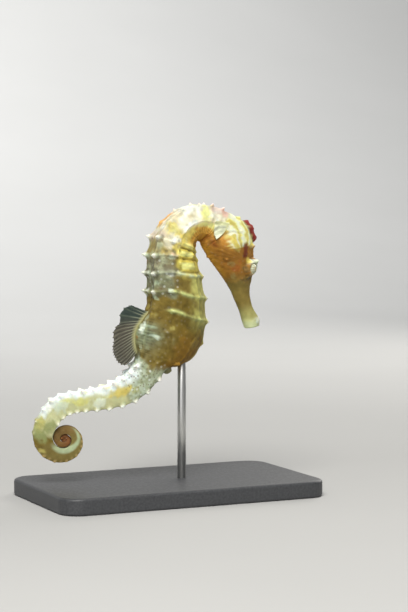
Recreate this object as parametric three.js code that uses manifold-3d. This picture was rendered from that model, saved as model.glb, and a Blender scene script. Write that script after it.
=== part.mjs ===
import * as THREE from 'three';
import { mergeVertices } from 'three/addons/utils/BufferGeometryUtils.js';
import Module from 'manifold-3d';

// A spiny seahorse at life size, held still on a display stand.
// Millimetres, +Z up, +X towards the animal's front, its right side towards -Y.
// The origin is the centre of the stand's underside.

// ---- how the body is described ----
// A station number s runs along the animal: the bony rings of the trunk are 1 to 11 and those of
// the tail follow from 12; the head lies from 0 down to the mouth at SNOUT_TIP.
// A number t from 0 to 8 runs around it: 0 mid-back, 1 upper ridge, 2 side ridge, 3 lower ridge,
// 4 mid-belly on the right side, and 5, 6, 7 the same ridges of the left side on the way back.
const SNOUT_TIP = -10;
const SHOULDER = 0;
const LAST_TRUNK_RING = 11;
const COIL_START = 24;
const TAIL_TIP = 48;
const LAST_SPINED_RING = 39;
const GAP = 0.3; // clearance between pieces that touch

// Each row: station, back x, back z, belly x, belly z, half width.
const BODY = [
  [-10.0, 31.8, 50.3, 26.9, 49.4, 2.2],
  [-9.3, 31.7, 52.0, 26.2, 51.1, 2.4],
  [-8.4, 29.5, 55.2, 25.0, 54.3, 2.0],
  [-7.0, 28.3, 58.8, 23.2, 57.8, 2.1],
  [-6.0, 28.1, 61.6, 21.8, 60.7, 2.6],
  [-5.0, 28.7, 64.7, 19.7, 63.8, 3.6],
  [-4.0, 29.2, 68.6, 16.9, 67.2, 4.4],
  [-3.0, 29.3, 72.9, 14.0, 70.7, 5.0],
  [-2.0, 28.4, 77.2, 12.2, 73.2, 5.2],
  [-1.0, 26.0, 81.4, 11.3, 74.5, 4.8],
  [0.0, 21.6, 84.1, 10.8, 75.4, 4.4],
  [1.0, 17.3, 85.7, 10.5, 75.9, 4.3],
  [2.0, 13.5, 86.8, 10.3, 76.0, 4.5],
  [3.0, 8.9, 87.0, 9.9, 76.1, 4.8],
  [4.0, 3.4, 85.5, 9.5, 75.8, 5.1],
  [5.0, -1.3, 82.2, 9.2, 74.9, 5.4],
  [6.0, -4.5, 77.5, 9.1, 72.9, 5.6],
  [7.0, -5.8, 72.1, 9.5, 70.4, 5.7],
  [8.0, -6.1, 66.7, 10.9, 65.5, 5.8],
  [9.0, -6.1, 61.3, 12.1, 58.9, 5.8],
  [10.0, -6.4, 56.1, 12.5, 51.9, 5.7],
  [10.5, -7.7, 53.2, 12.0, 48.5, 5.5],
  [11.0, -8.9, 49.9, 10.9, 45.3, 5.3],
  [11.5, -9.5, 46.5, 8.3, 41.2, 4.9],
  [12.0, -9.7, 43.7, 4.0, 38.7, 4.4],
  [12.5, -10.0, 41.6, -0.1, 38.0, 4.1],
  [13.0, -10.8, 39.7, -3.0, 35.0, 3.9],
  [15.0, -14.8, 35.9, -10.9, 29.0, 3.6],
  [17.0, -20.1, 33.5, -18.6, 26.9, 3.25],
  [19.0, -26.3, 32.4, -25.4, 26.4, 3.0],
  [21.0, -32.6, 31.3, -29.9, 25.7, 2.9],
  [22.5, -36.4, 28.8, -32.5, 23.8, 2.85],
  [24.0, -39.4, 24.0, -34.2, 20.6, 2.75],
];

// From COIL_START the tail winds in as a logarithmic spiral whose turns nearly touch.
const COIL = {
  centreX: -31.5,
  centreZ: 18.2,
  radius: 9.8, // of the back line where the coil starts
  halfWidth: 2.75,
  startAngle: THREE.MathUtils.degToRad(143.7), // from +X towards +Z
  shrink: 0.165, // share of the radius lost per radian
  turnPerRing: 0.4, // radians at the first ring
  turnGain: 0.0115, // the rings shorten, so each one turns a little more
  gap: 0.2, // between one turn and the next
  tightRadius: 3.5, // inside this radius the gap narrows with the turns
};

// Half sections from mid-back to mid-belly: [share of half width, share of half depth].
const SECTION = {
  snout: [[0, 1], [0.7, 0.71], [1, 0], [0.7, -0.71], [0, -1]],
  head: [[0, 1], [0.5, 0.8], [1, 0.05], [0.8, -0.62], [0, -1]],
  trunk: [[0, 0.93], [0.58, 0.93], [1, 0.12], [0.72, -0.56], [0, -1]],
  tail: [[0, 0.86], [0.86, 0.92], [0.93, 0], [0.86, -0.92], [0, -0.86]],
};
const SECTION_ALONG = [
  [-10, SECTION.snout], [-6.3, SECTION.snout], [-4, SECTION.head], [-1, SECTION.head],
  [1.5, SECTION.trunk], [11.5, SECTION.trunk], [14, SECTION.tail], [48, SECTION.tail],
];
// 0 is a round section, 1 has flat panels between its ridges.
const FLATNESS_ALONG = [[-10, 0], [-1, 0], [1.5, 0.8], [12, 0.8], [14, 0.85], [48, 0.85]];
const PANEL_SAG = 0.1; // how far a flat panel sinks between two ridges

// The whole body bows a little towards its left side.
const BOW_CENTRE_X = 2;
const BOW = 0.008; // curvature, 1 / mm

// Relief: raised ring lines, and a spine where a ring crosses a ridge.
const RING_HEIGHT = 0.18;
const COIL_RING_SHARE = 0.45; // the coil's ring lines are lower
const SPINE_REACH = 0.22; // foot of a spine, in stations and in t
const SPINE_LEAN = 0.12; // tail spines lean back, stations per mm of height
// Spine heights in mm, where a ring crosses the upper, side and lower ridges and the mid-belly.
const TRUNK_SPINES = {
  upper: [0.9, 1.1, 0.8, 0.7, 0.35, 1.4, 1.5, 1.5, 1.4, 0.2, 0.4], // rings 1 to 11
  side: 0.5,
  lower: 0.2,
  belly: 0.6,
};
const FIRST_BELLY_RING = 7; // the belly is smooth above it
// Every third upper spine of the tail is tall, and the first ring's is low.
const TAIL_SPINES = { tall: 1.6, short: 1.1, first: 0.4, lower: 0.55, fadeOver: 26 };
const MOUND = { s: 11.2, reach: 1.35, t: 0, around: 1.15, height: 1.9 }; // under the dorsal fin

// Soft bumps of the head, right side and left side alike.
const HEAD_BUMPS = [
  { s: -4.15, t: 1.45, reach: 0.74, around: 0.64, height: 1.5, blunt: 2 }, // eye turret
  { s: -3.7, t: 1.15, reach: 0.26, around: 0.28, height: 1.9 }, // spine over the eye
  { s: -2.65, t: 1.0, reach: 0.25, around: 0.25, height: 0.9 }, // spine behind the crown's edge
  { s: -3.2, t: 2.95, reach: 0.25, around: 0.25, height: 0.6 }, // cheek spine
  { s: -2.2, t: 2.5, reach: 1.5, around: 1.1, height: 0.8 }, // gill cover
  { s: -0.45, t: 0.6, reach: 0.3, around: 0.4, height: 0.8 }, // nape spine
  { s: -2.85, t: 3.9, reach: 0.25, around: 0.3, height: 0.5 }, // throat spine
  { s: -5.3, t: 0.0, reach: 0.3, around: 0.4, height: 0.4 }, // nose spine
];
const EYE = { s: -4.15, t: 1.45, radius: 1.75, sunk: 1.3 };
const CORONET = { s: -1.66, reach: 0.78, around: 0.55, points: 5, wall: 1.3, point: 0.8, flare: 0.08 };

// Each fin: where its foot starts and ends on the body, and rays by [share of the foot, length,
// degrees above straight back].
const DORSAL_FIN = {
  from: 10.12,
  to: 12.05,
  rays: [[0, 3.5, 21], [0.06, 5.6, 29], [0.14, 7.2, 23], [0.18, 7.8, 13], [0.25, 7.1, -4], [0.29, 7.9, -5],
    [0.36, 8.5, -12], [0.45, 8.3, -22], [0.55, 8.6, -28], [0.65, 8.3, -30], [0.75, 7.8, -33],
    [0.85, 7.2, -40], [0.93, 6.4, -45], [1, 5.1, -48]],
  rayCount: 18,
  footThickness: 0.9,
  thickness: 0.5,
  rayThickness: 0.66,
  wave: 0.55,
};
// The pectoral fins lie back along the neck. Each ray runs over the skin from its foot to its tip:
// [share from the upper ray to the lower, foot s, foot t, tip s, tip t].
const PECTORAL_FIN = {
  rays: [[0, -0.3, 1.6, 1.7, 2.0], [0.35, -0.3, 1.82, 1.3, 2.4], [0.7, -0.35, 2.05, 0.45, 2.75],
    [1, -0.4, 2.25, -0.5, 2.85]],
  lift: 0.15, // over the skin at the foot
  spread: 0.9, // further over the skin at the tips
  thickness: 0.54,
  ruffle: 0.12,
  ruffles: 3,
};
const ANAL_FIN = { s: 12.42, foot: 0.24, length: 1.6, angle: 75, fan: 45, thickness: 0.6 };

// ---- the stand ----
const BASE = { length: 84, width: 48, height: 5, corner: 6, bevel: 0.8 };
const ROD = { x: 4.5, y: 0, radius: 1.3, bottom: 2.2, top: 41.2 };
const SOCKET_OVERRUN = 10; // the socket cutters run out past the surfaces they open
const SOCKET_RADIUS = ROD.radius + GAP;

// ---- tables and curves ----
function intervalOf(table, x) {
  let i = 0;
  while (i < table.length - 2 && x >= table[i + 1][0]) i += 1;
  return i;
}

function blend(table, x) {
  const i = intervalOf(table, x);
  const f = (x - table[i][0]) / (table[i + 1][0] - table[i][0]);
  const g = Math.min(1, Math.max(0, f));
  return table[i].slice(1).map((value, k) => value * (1 - g) + table[i + 1][k + 1] * g);
}

const turnedAt = (n) => COIL.turnPerRing * n + COIL.turnGain * n * n;

// Over the last turn the inner side closes on the centre, since no further turn fills it.
function centreShare(turned) {
  const lastTurn = turnedAt(TAIL_TIP - COIL_START) - 2 * Math.PI;
  return 1 - Math.min(1, Math.max(0, (turned - lastTurn) / Math.PI));
}

function coilStation(n) {
  const turned = turnedAt(n);
  const angle = COIL.startAngle + turned;
  const outer = COIL.radius * Math.exp(-COIL.shrink * turned);
  const nextTurn = COIL.radius * Math.exp(-COIL.shrink * (turned + 2 * Math.PI)) * centreShare(turned);
  const inner = nextTurn + COIL.gap * Math.min(1, outer / COIL.tightRadius);
  const cos = Math.cos(angle);
  const sin = Math.sin(angle);
  return [
    COIL_START + n,
    COIL.centreX + outer * cos, COIL.centreZ + outer * sin,
    COIL.centreX + inner * cos, COIL.centreZ + inner * sin,
    COIL.halfWidth * (outer / COIL.radius) ** 0.85,
  ];
}

const stations = BODY.slice();
for (let n = 0.5; n <= TAIL_TIP - COIL_START; n += 0.5) stations.push(coilStation(n));

function slopeAt(i) {
  const a = stations[Math.max(0, i - 1)];
  const b = stations[Math.min(stations.length - 1, i + 1)];
  return a.map((value, k) => (b[k] - value) / (b[0] - a[0]));
}
const slopes = stations.map((row, i) => slopeAt(i));

// Back point, belly point and half width at station s, on a smooth curve through the stations.
function bodyLine(s) {
  const i = intervalOf(stations, s);
  const h = stations[i + 1][0] - stations[i][0];
  const f = (s - stations[i][0]) / h;
  const row = stations[i].map((value, k) => (
    (2 * f ** 3 - 3 * f ** 2 + 1) * value
    + (f ** 3 - 2 * f ** 2 + f) * h * slopes[i][k]
    + (3 * f ** 2 - 2 * f ** 3) * stations[i + 1][k]
    + (f ** 3 - f ** 2) * h * slopes[i + 1][k]));
  return { back: [row[1], row[2]], belly: [row[3], row[4]], half: row[5] };
}

// The eight ridge points of the section at s, as [share of half width, share of half depth].
function ridgesAt(s) {
  const i = intervalOf(SECTION_ALONG, s);
  const span = SECTION_ALONG[i + 1][0] - SECTION_ALONG[i][0];
  const f = Math.min(1, Math.max(0, (s - SECTION_ALONG[i][0]) / span));
  const right = SECTION_ALONG[i][1].map((p, k) => p.map(
    (value, axis) => value * (1 - f) + SECTION_ALONG[i + 1][1][k][axis] * f));
  const left = [3, 2, 1].map((k) => [-right[k][0], right[k][1]]);
  return right.concat(left);
}

function sectionPoint(s, t) {
  const ridges = ridgesAt(s);
  const k = Math.floor(t);
  const f = t - k;
  const [p0, p1, p2, p3] = [-1, 0, 1, 2].map((step) => ridges[(k + step + 8) % 8]);
  const flat = blend(FLATNESS_ALONG, s)[0];
  const sag = 1 - PANEL_SAG * 4 * f * (1 - f);
  return [0, 1].map((axis) => {
    const straight = (p1[axis] * (1 - f) + p2[axis] * f) * sag;
    const round = 0.5 * (2 * p1[axis] + (p2[axis] - p0[axis]) * f
      + (2 * p0[axis] - 5 * p1[axis] + 4 * p2[axis] - p3[axis]) * f ** 2
      + (3 * p1[axis] - p0[axis] - 3 * p2[axis] + p3[axis]) * f ** 3);
    return round * (1 - flat) + straight * flat;
  });
}

// Height of the spine where ring r crosses ridge j (1 upper, 2 side, 3 lower, 4 mid-belly).
function spineHeight(r, j) {
  if (r <= SHOULDER || r > LAST_SPINED_RING) return 0;
  if (r <= LAST_TRUNK_RING) {
    if (j === 1) return TRUNK_SPINES.upper[r - 1];
    if (j === 2) return TRUNK_SPINES.side;
    if (r < FIRST_BELLY_RING) return 0;
    return j === 3 ? TRUNK_SPINES.lower : TRUNK_SPINES.belly;
  }
  const fade = Math.max(0, 1 - (r - LAST_TRUNK_RING - 1) / TAIL_SPINES.fadeOver);
  if (j === 1 && r === LAST_TRUNK_RING + 1) return TAIL_SPINES.first;
  if (j === 1) return (r % 3 === 1 ? TAIL_SPINES.tall : TAIL_SPINES.short) * fade;
  if (j === 3) return r < COIL_START ? TAIL_SPINES.lower * fade : 0;
  return 0;
}

function bumpHeight(bump, s, t) {
  const down = (s - bump.s) / bump.reach;
  const around = (t - bump.t) / bump.around;
  const q = 1 - (down * down + around * around) ** (bump.blunt ?? 1);
  return q > 0 ? bump.height * q * q : 0;
}

// Height of the relief above the plain body at (s, t).
function relief(s, t) {
  const side = Math.min(t, 8 - t);
  let height = bumpHeight(MOUND, s, side);
  for (const bump of HEAD_BUMPS) height += bumpHeight(bump, s, side);
  const ring = Math.round(s);
  const nearRing = Math.max(0, 1 - Math.abs(s - ring) / SPINE_REACH);
  if (ring > SHOULDER && nearRing > 0) {
    const ridge = Math.round(side);
    const nearRidge = Math.max(0, 1 - Math.abs(side - ridge) / SPINE_REACH);
    const inThroat = ring < FIRST_BELLY_RING - 2 && side > 3;
    const inCoil = ring >= COIL_START && side > 2.5;
    if (ridge > 0) height += spineHeight(ring, ridge) * nearRing * nearRidge;
    if (!inThroat && !inCoil) height += RING_HEIGHT * nearRing * (ring < COIL_START ? 1 : COIL_RING_SHARE);
  }
  return height;
}

// Bow of the whole body towards its left side.
function bowed(x, y, z) {
  const q = BOW * (x - BOW_CENTRE_X);
  const n = Math.hypot(1, q);
  return new THREE.Vector3(x - y * q / n, 0.5 * BOW * (x - BOW_CENTRE_X) ** 2 + y / n, z);
}

// Point of the skin at (s, t), raised by lift.
function skinPoint(s, t, lift = 0) {
  const around = ((t % 8) + 8) % 8;
  const height = relief(s, around);
  const leaning = s > LAST_TRUNK_RING + 1 ? s + SPINE_LEAN * Math.max(0, height - RING_HEIGHT) : s;
  const { back, belly, half } = bodyLine(Math.min(TAIL_TIP, leaning));
  const [a, b] = sectionPoint(s, around);
  const dx = (back[0] - belly[0]) / 2;
  const dz = (back[1] - belly[1]) / 2;
  const depth = Math.hypot(dx, dz);
  const length = Math.hypot(a, b) || 1;
  const out = (height + lift) / length;
  return bowed(
    (back[0] + belly[0]) / 2 + dx * b + (dx / depth) * b * out,
    -half * a - a * out,
    (back[1] + belly[1]) / 2 + dz * b + (dz / depth) * b * out,
  );
}

function axisPoint(s) {
  const { back, belly } = bodyLine(s);
  return bowed((back[0] + belly[0]) / 2, 0, (back[1] + belly[1]) / 2);
}

// ---- closed solids ----
function signedVolume(points, faces) {
  let volume = 0;
  for (const [i, j, k] of faces) {
    volume += points[i].dot(points[j].clone().cross(points[k])) / 6;
  }
  return volume;
}

function solidFrom(points, faces) {
  const turned = signedVolume(points, faces) < 0;
  const index = faces.flatMap(([i, j, k]) => (turned ? [i, k, j] : [i, j, k]));
  const geometry = new THREE.BufferGeometry();
  const position = points.flatMap((p) => [p.x, p.y, p.z]);
  geometry.setAttribute('position', new THREE.Float32BufferAttribute(position, 3));
  geometry.setIndex(index);
  return geometry;
}

// Rings of points joined into a tube, closed by a fan at each end.
function tubeSolid(rows, startCentre, endCentre) {
  const n = rows[0].length;
  const points = rows.flat().concat([startCentre, endCentre]);
  const first = points.length - 2;
  const last = points.length - 1;
  const lastRow = (rows.length - 1) * n;
  const faces = [];
  for (let i = 0; i < rows.length - 1; i += 1) {
    for (let j = 0; j < n; j += 1) {
      const k = (j + 1) % n;
      faces.push([i * n + j, (i + 1) * n + j, (i + 1) * n + k], [i * n + j, (i + 1) * n + k, i * n + k]);
    }
  }
  for (let j = 0; j < n; j += 1) {
    const k = (j + 1) % n;
    faces.push([first, j, k], [last, lastRow + k, lastRow + j]);
  }
  return solidFrom(points, faces);
}

// A thin sheet with two faces: pointAt(u, v, side) gives the face on each side.
function sheetSolid(pointAt, nu, nv) {
  const points = [];
  for (const side of [1, -1]) {
    for (let i = 0; i <= nu; i += 1) {
      for (let j = 0; j <= nv; j += 1) points.push(pointAt(i / nu, j / nv, side));
    }
  }
  const size = (nu + 1) * (nv + 1);
  const at = (i, j) => i * (nv + 1) + j;
  const faces = [];
  const quad = (a, b, c, d) => faces.push([a, b, c], [a, c, d]);
  for (let i = 0; i < nu; i += 1) {
    for (let j = 0; j < nv; j += 1) {
      quad(at(i, j), at(i + 1, j), at(i + 1, j + 1), at(i, j + 1));
      quad(size + at(i, j), size + at(i, j + 1), size + at(i + 1, j + 1), size + at(i + 1, j));
    }
    quad(at(i + 1, 0), at(i, 0), size + at(i, 0), size + at(i + 1, 0));
    quad(at(i, nv), at(i + 1, nv), size + at(i + 1, nv), size + at(i, nv));
  }
  for (let j = 0; j < nv; j += 1) {
    quad(at(0, j), at(0, j + 1), size + at(0, j + 1), size + at(0, j));
    quad(at(nu, j + 1), at(nu, j), size + at(nu, j), size + at(nu, j + 1));
  }
  return solidFrom(points, faces);
}

// A cap that sits on the skin around (s, t): height(r, angle) above its own floor.
function patchSolid(patch, floor, height, rings, steps) {
  const place = (r, angle, lift) => {
    const spread = 1 + patch.flare * lift;
    const s = patch.s + patch.reach * r * spread * Math.cos(angle);
    const t = patch.around * r * spread * Math.sin(angle);
    return skinPoint(s, t, floor + lift);
  };
  const rows = [];
  for (let i = 1; i <= rings; i += 1) rows.push([i / rings, false]);
  for (let i = rings; i >= 1; i -= 1) rows.push([i / rings, true]);
  const grid = rows.map(([r, top]) => {
    const row = [];
    for (let j = 0; j < steps; j += 1) {
      const angle = (2 * Math.PI * j) / steps;
      row.push(place(r, angle, top ? height(r, angle) : 0));
    }
    return row;
  });
  return tubeSolid(grid, place(0, 0, 0), place(0, 0, height(0, 0)));
}

// ---- booleans ----
const wasm = await Module();
wasm.setup();

function toManifold(geometry) {
  const bare = geometry.clone();
  bare.deleteAttribute('normal');
  bare.deleteAttribute('uv');
  const merged = mergeVertices(bare, 1e-4);
  const vertProperties = new Float32Array(merged.attributes.position.array);
  const triVerts = new Uint32Array(merged.index.array);
  return new wasm.Manifold(new wasm.Mesh({ numProp: 3, vertProperties, triVerts }));
}

function cut(geometry, tools) {
  let solid = toManifold(geometry);
  for (const tool of tools) solid = solid.subtract(toManifold(tool));
  const mesh = solid.getMesh();
  const result = new THREE.BufferGeometry();
  result.setAttribute('position', new THREE.BufferAttribute(new Float32Array(mesh.vertProperties), 3));
  result.setIndex(Array.from(mesh.triVerts));
  return result;
}

// ---- lengths of the body ----
const range = (from, to, step) => {
  const list = [];
  for (let x = from; x <= to + 1e-9; x += step) list.push(x);
  return list;
};
const HEAD_ROWS = range(SNOUT_TIP, -6.5, 0.5).concat(range(-6, SHOULDER, 0.25));
const RING_ROWS = range(1, COIL_START - 1, 1).flatMap((r) => (
  r === 10 || r === 11 ? [r - 0.2, r, r + 0.2, r + 0.5] : [r - 0.2, r, r + 0.2]));
const COIL_ROWS = range(COIL_START, 40, 0.5).concat(range(41, TAIL_TIP, 1));
const ROWS = HEAD_ROWS.concat(RING_ROWS, COIL_ROWS);
const LEAST_ROW_STEP = 0.06; // rows nearer than this to an end are left out

const HEAD_COLUMNS = range(0, 23, 1).map((k) => k / 3);
const SNOUT_COLUMNS = range(0, 7.5, 0.5);
const TRUNK_COLUMNS = range(0, 7, 1).flatMap((j) => (
  j % 4 === 0 ? [j, j + 0.5] : [j - 0.2, j, j + 0.2, j + 0.5]));
const TAIL_COLUMNS = range(0, 7, 1).flatMap((j) => (
  j === 1 || j === 7 ? [j - 0.2, j, j + 0.2, j + 0.5] : [j, j + 0.5]));
const COIL_COLUMNS = range(0, 7.5, 0.5);

// Name, first station, last station, columns.
const LENGTHS = [
  ['snout', SNOUT_TIP, -6, SNOUT_COLUMNS],
  ['head', -6, -0.5, HEAD_COLUMNS],
  ['neck', -0.5, 2.5, TRUNK_COLUMNS],
  ['trunk_upper', 2.5, 5.5, TRUNK_COLUMNS],
  ['trunk_middle', 5.5, 8.5, TRUNK_COLUMNS],
  ['trunk_lower', 8.5, 12.5, TRUNK_COLUMNS],
  ['tail_1', 12.5, 15.5, TAIL_COLUMNS],
  ['tail_2', 15.5, 18.5, TAIL_COLUMNS],
  ['tail_3', 18.5, 21.5, TAIL_COLUMNS],
  ['tail_4', 21.5, COIL_START + 0.25, TAIL_COLUMNS],
  ['tail_5', COIL_START + 0.25, 26.75, COIL_COLUMNS],
  ['tail_6', 26.75, 29.25, COIL_COLUMNS],
  ['tail_7', 29.25, 31.75, COIL_COLUMNS],
  ['tail_8', 31.75, 34.75, COIL_COLUMNS],
  ['tail_9', 34.75, 38.25, COIL_COLUMNS],
  ['tail_10', 38.25, TAIL_TIP, COIL_COLUMNS],
];

function lengthSolid(from, to, columns) {
  const endGap = (s, open) => {
    const pitch = axisPoint(s + 0.1).distanceTo(axisPoint(s - 0.1)) / 0.2;
    return open ? 0 : GAP / 2 / pitch;
  };
  const start = from + endGap(from, from === SNOUT_TIP);
  const end = to - endGap(to, to === TAIL_TIP);
  const inside = ROWS.filter((s) => s > start + LEAST_ROW_STEP && s < end - LEAST_ROW_STEP);
  const rows = [start, ...inside, end].map((s) => columns.map((t) => skinPoint(s, t)));
  return tubeSolid(rows, axisPoint(start), axisPoint(end));
}

// ---- head parts ----
function eyeCentre(side) {
  const t = side > 0 ? EYE.t : 8 - EYE.t;
  return skinPoint(EYE.s, t, -EYE.sunk);
}

function ball(centre, radius) {
  const geometry = new THREE.SphereGeometry(radius, 12, 8);
  geometry.translate(centre.x, centre.y, centre.z);
  return geometry;
}

function coronetHeight(r, angle) {
  const crest = (0.5 + 0.5 * Math.cos(CORONET.points * angle)) ** 2;
  return CORONET.wall * (0.7 + 0.3 * r) + CORONET.point * r ** 3 * crest;
}

// ---- fins ----
function rayAt(table, share) {
  const [length, degrees] = blend(table, share);
  return { length, angle: THREE.MathUtils.degToRad(degrees) };
}

function dorsalPoint(u, v, side) {
  const fin = DORSAL_FIN;
  const foot = skinPoint(fin.from + (fin.to - fin.from) * u, 0, GAP);
  const ray = rayAt(fin.rays, u);
  const reach = ray.length * v;
  const phase = Math.PI * fin.rayCount * u;
  const onRay = Math.cos(phase) ** 2;
  const blade = fin.thickness + (fin.rayThickness - fin.thickness) * onRay;
  const thickness = fin.footThickness + (blade - fin.footThickness) * Math.min(1, v * 4);
  const wave = fin.wave * v * Math.sin(2.2 * Math.PI * u + 1.4 * v);
  return new THREE.Vector3(
    foot.x - reach * Math.cos(ray.angle),
    foot.y + wave + (side * thickness) / 2,
    foot.z + reach * Math.sin(ray.angle),
  );
}

function pectoralPoint(u, v, side, hand) {
  const fin = PECTORAL_FIN;
  const [footS, footT, tipS, tipT] = blend(fin.rays, u);
  const s = footS + (tipS - footS) * v;
  const t = footT + (tipT - footT) * v;
  const ruffle = fin.ruffle * v * Math.cos(fin.ruffles * 2 * Math.PI * u);
  const lift = GAP + fin.lift + fin.spread * v + ruffle + (side > 0 ? fin.thickness : 0);
  return skinPoint(s, hand > 0 ? t : 8 - t, lift);
}

function analPoint(u, v, side) {
  const fin = ANAL_FIN;
  const foot = skinPoint(fin.s + fin.foot * (0.5 - u), 4, GAP);
  const angle = THREE.MathUtils.degToRad(fin.angle + fin.fan * (u - 0.5)); // below straight back
  return new THREE.Vector3(
    foot.x - fin.length * v * Math.cos(angle),
    foot.y + (side * fin.thickness) / 2,
    foot.z - fin.length * v * Math.sin(angle),
  );
}

// ---- the stand's pieces ----
function baseSolid() {
  const x = BASE.length / 2 - BASE.bevel;
  const y = BASE.width / 2 - BASE.bevel;
  const r = BASE.corner;
  const plan = new THREE.Shape();
  plan.absarc(x - r, y - r, r, 0, Math.PI / 2);
  plan.absarc(-x + r, y - r, r, Math.PI / 2, Math.PI);
  plan.absarc(-x + r, -y + r, r, Math.PI, 1.5 * Math.PI);
  plan.absarc(x - r, -y + r, r, 1.5 * Math.PI, 2 * Math.PI);
  plan.closePath();
  const geometry = new THREE.ExtrudeGeometry(plan, {
    depth: BASE.height - 2 * BASE.bevel,
    bevelThickness: BASE.bevel,
    bevelSize: BASE.bevel,
    bevelSegments: 1,
    curveSegments: 4,
  });
  geometry.translate(0, 0, BASE.bevel);
  return geometry;
}

function uprightCylinder(radius, bottom, top) {
  const geometry = new THREE.CylinderGeometry(radius, radius, top - bottom, 20);
  geometry.rotateX(Math.PI / 2);
  geometry.translate(ROD.x, ROD.y, (bottom + top) / 2);
  return geometry;
}

// ---- assembly ----
const FINISH = {
  olive: { color: 0x9a8434, roughness: 0.55, metalness: 0 },
  cream: { color: 0xe0d7ae, roughness: 0.6, metalness: 0 },
  amber: { color: 0x9c6420, roughness: 0.55, metalness: 0 },
  crimson: { color: 0x7c1f24, roughness: 0.5, metalness: 0 },
  membrane: { color: 0xa9b59a, roughness: 0.4, metalness: 0 },
  eye: { color: 0x1c1710, roughness: 0.15, metalness: 0 },
  base: { color: 0x35373a, roughness: 0.6, metalness: 0 },
  rod: { color: 0xb8b8b4, roughness: 0.3, metalness: 1 },
};

const seahorse = new THREE.Group();
function add(name, geometry, finish) {
  const mesh = new THREE.Mesh(geometry, new THREE.MeshStandardMaterial(FINISH[finish]));
  mesh.name = name;
  seahorse.add(mesh);
}

const finishOf = (name) => {
  if (name.startsWith('tail')) return 'cream';
  return name === 'head' ? 'amber' : 'olive';
};
const sockets = [1, -1].map((side) => ball(eyeCentre(side), EYE.radius + GAP));
const rodInBody = uprightCylinder(SOCKET_RADIUS, ROD.top - SOCKET_OVERRUN, ROD.top + GAP);
const cutters = { head: sockets, trunk_lower: [rodInBody] };
for (const [name, from, to, columns] of LENGTHS) {
  const whole = lengthSolid(from, to, columns);
  add(name, cutters[name] ? cut(whole, cutters[name]) : whole, finishOf(name));
}

add('eye_right', ball(eyeCentre(1), EYE.radius), 'eye');
add('eye_left', ball(eyeCentre(-1), EYE.radius), 'eye');
add('coronet', patchSolid({ ...CORONET, t: 0 }, GAP, coronetHeight, 3, 15), 'crimson');

add('dorsal_fin', sheetSolid(dorsalPoint, 2 * DORSAL_FIN.rayCount, 4), 'membrane');
add('pectoral_fin_right', sheetSolid((u, v, side) => pectoralPoint(u, v, side, 1), 10, 3), 'membrane');
add('pectoral_fin_left', sheetSolid((u, v, side) => pectoralPoint(u, v, side, -1), 10, 3), 'membrane');
add('anal_fin', sheetSolid(analPoint, 3, 2), 'membrane');

const rodInBase = uprightCylinder(SOCKET_RADIUS, ROD.bottom - GAP, ROD.bottom + SOCKET_OVERRUN);
add('stand_base', cut(baseSolid(), [rodInBase]), 'base');
add('stand_rod', uprightCylinder(ROD.radius, ROD.bottom, ROD.top), 'rod');

export default seahorse;
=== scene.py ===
# %% [markdown]
# # A spiny seahorse on a display stand
# This lesson dresses a solid model of a seahorse. The solid gives every size and place, and here it
# gets its fine skin, its spines and rings, its thin fins, its eyes and its colours. We start by
# loading the solid and keeping its parts.

# %% Load the solid model
import math

import bpy
import numpy as np
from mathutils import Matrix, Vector


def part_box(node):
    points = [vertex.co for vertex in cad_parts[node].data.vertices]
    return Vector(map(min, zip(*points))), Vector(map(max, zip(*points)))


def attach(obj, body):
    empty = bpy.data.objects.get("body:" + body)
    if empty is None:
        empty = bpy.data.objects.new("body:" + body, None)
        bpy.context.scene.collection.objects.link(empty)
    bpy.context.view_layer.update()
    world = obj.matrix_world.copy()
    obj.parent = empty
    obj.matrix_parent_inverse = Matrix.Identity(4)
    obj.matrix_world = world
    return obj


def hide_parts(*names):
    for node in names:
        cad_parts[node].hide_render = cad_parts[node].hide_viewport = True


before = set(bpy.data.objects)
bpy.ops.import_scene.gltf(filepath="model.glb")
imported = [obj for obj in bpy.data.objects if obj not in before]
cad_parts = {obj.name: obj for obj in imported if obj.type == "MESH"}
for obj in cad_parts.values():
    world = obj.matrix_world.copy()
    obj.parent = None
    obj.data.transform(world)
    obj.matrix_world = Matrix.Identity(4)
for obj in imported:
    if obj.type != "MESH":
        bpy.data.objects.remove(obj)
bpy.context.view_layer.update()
MM = 0.001

# %% [markdown]
# ## The body as a string of stations
# A seahorse has no scales. It wears rings of bone: 11 around the trunk and about 36 around the tail.
# So the natural way to describe it is ring by ring. Each row below is one station with a point on
# the back, a point on the belly and half the width there. Sculpting by hand would also work, but
# with numbers the skin fits the solid exactly, and every later detail knows which ring it is on.

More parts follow.
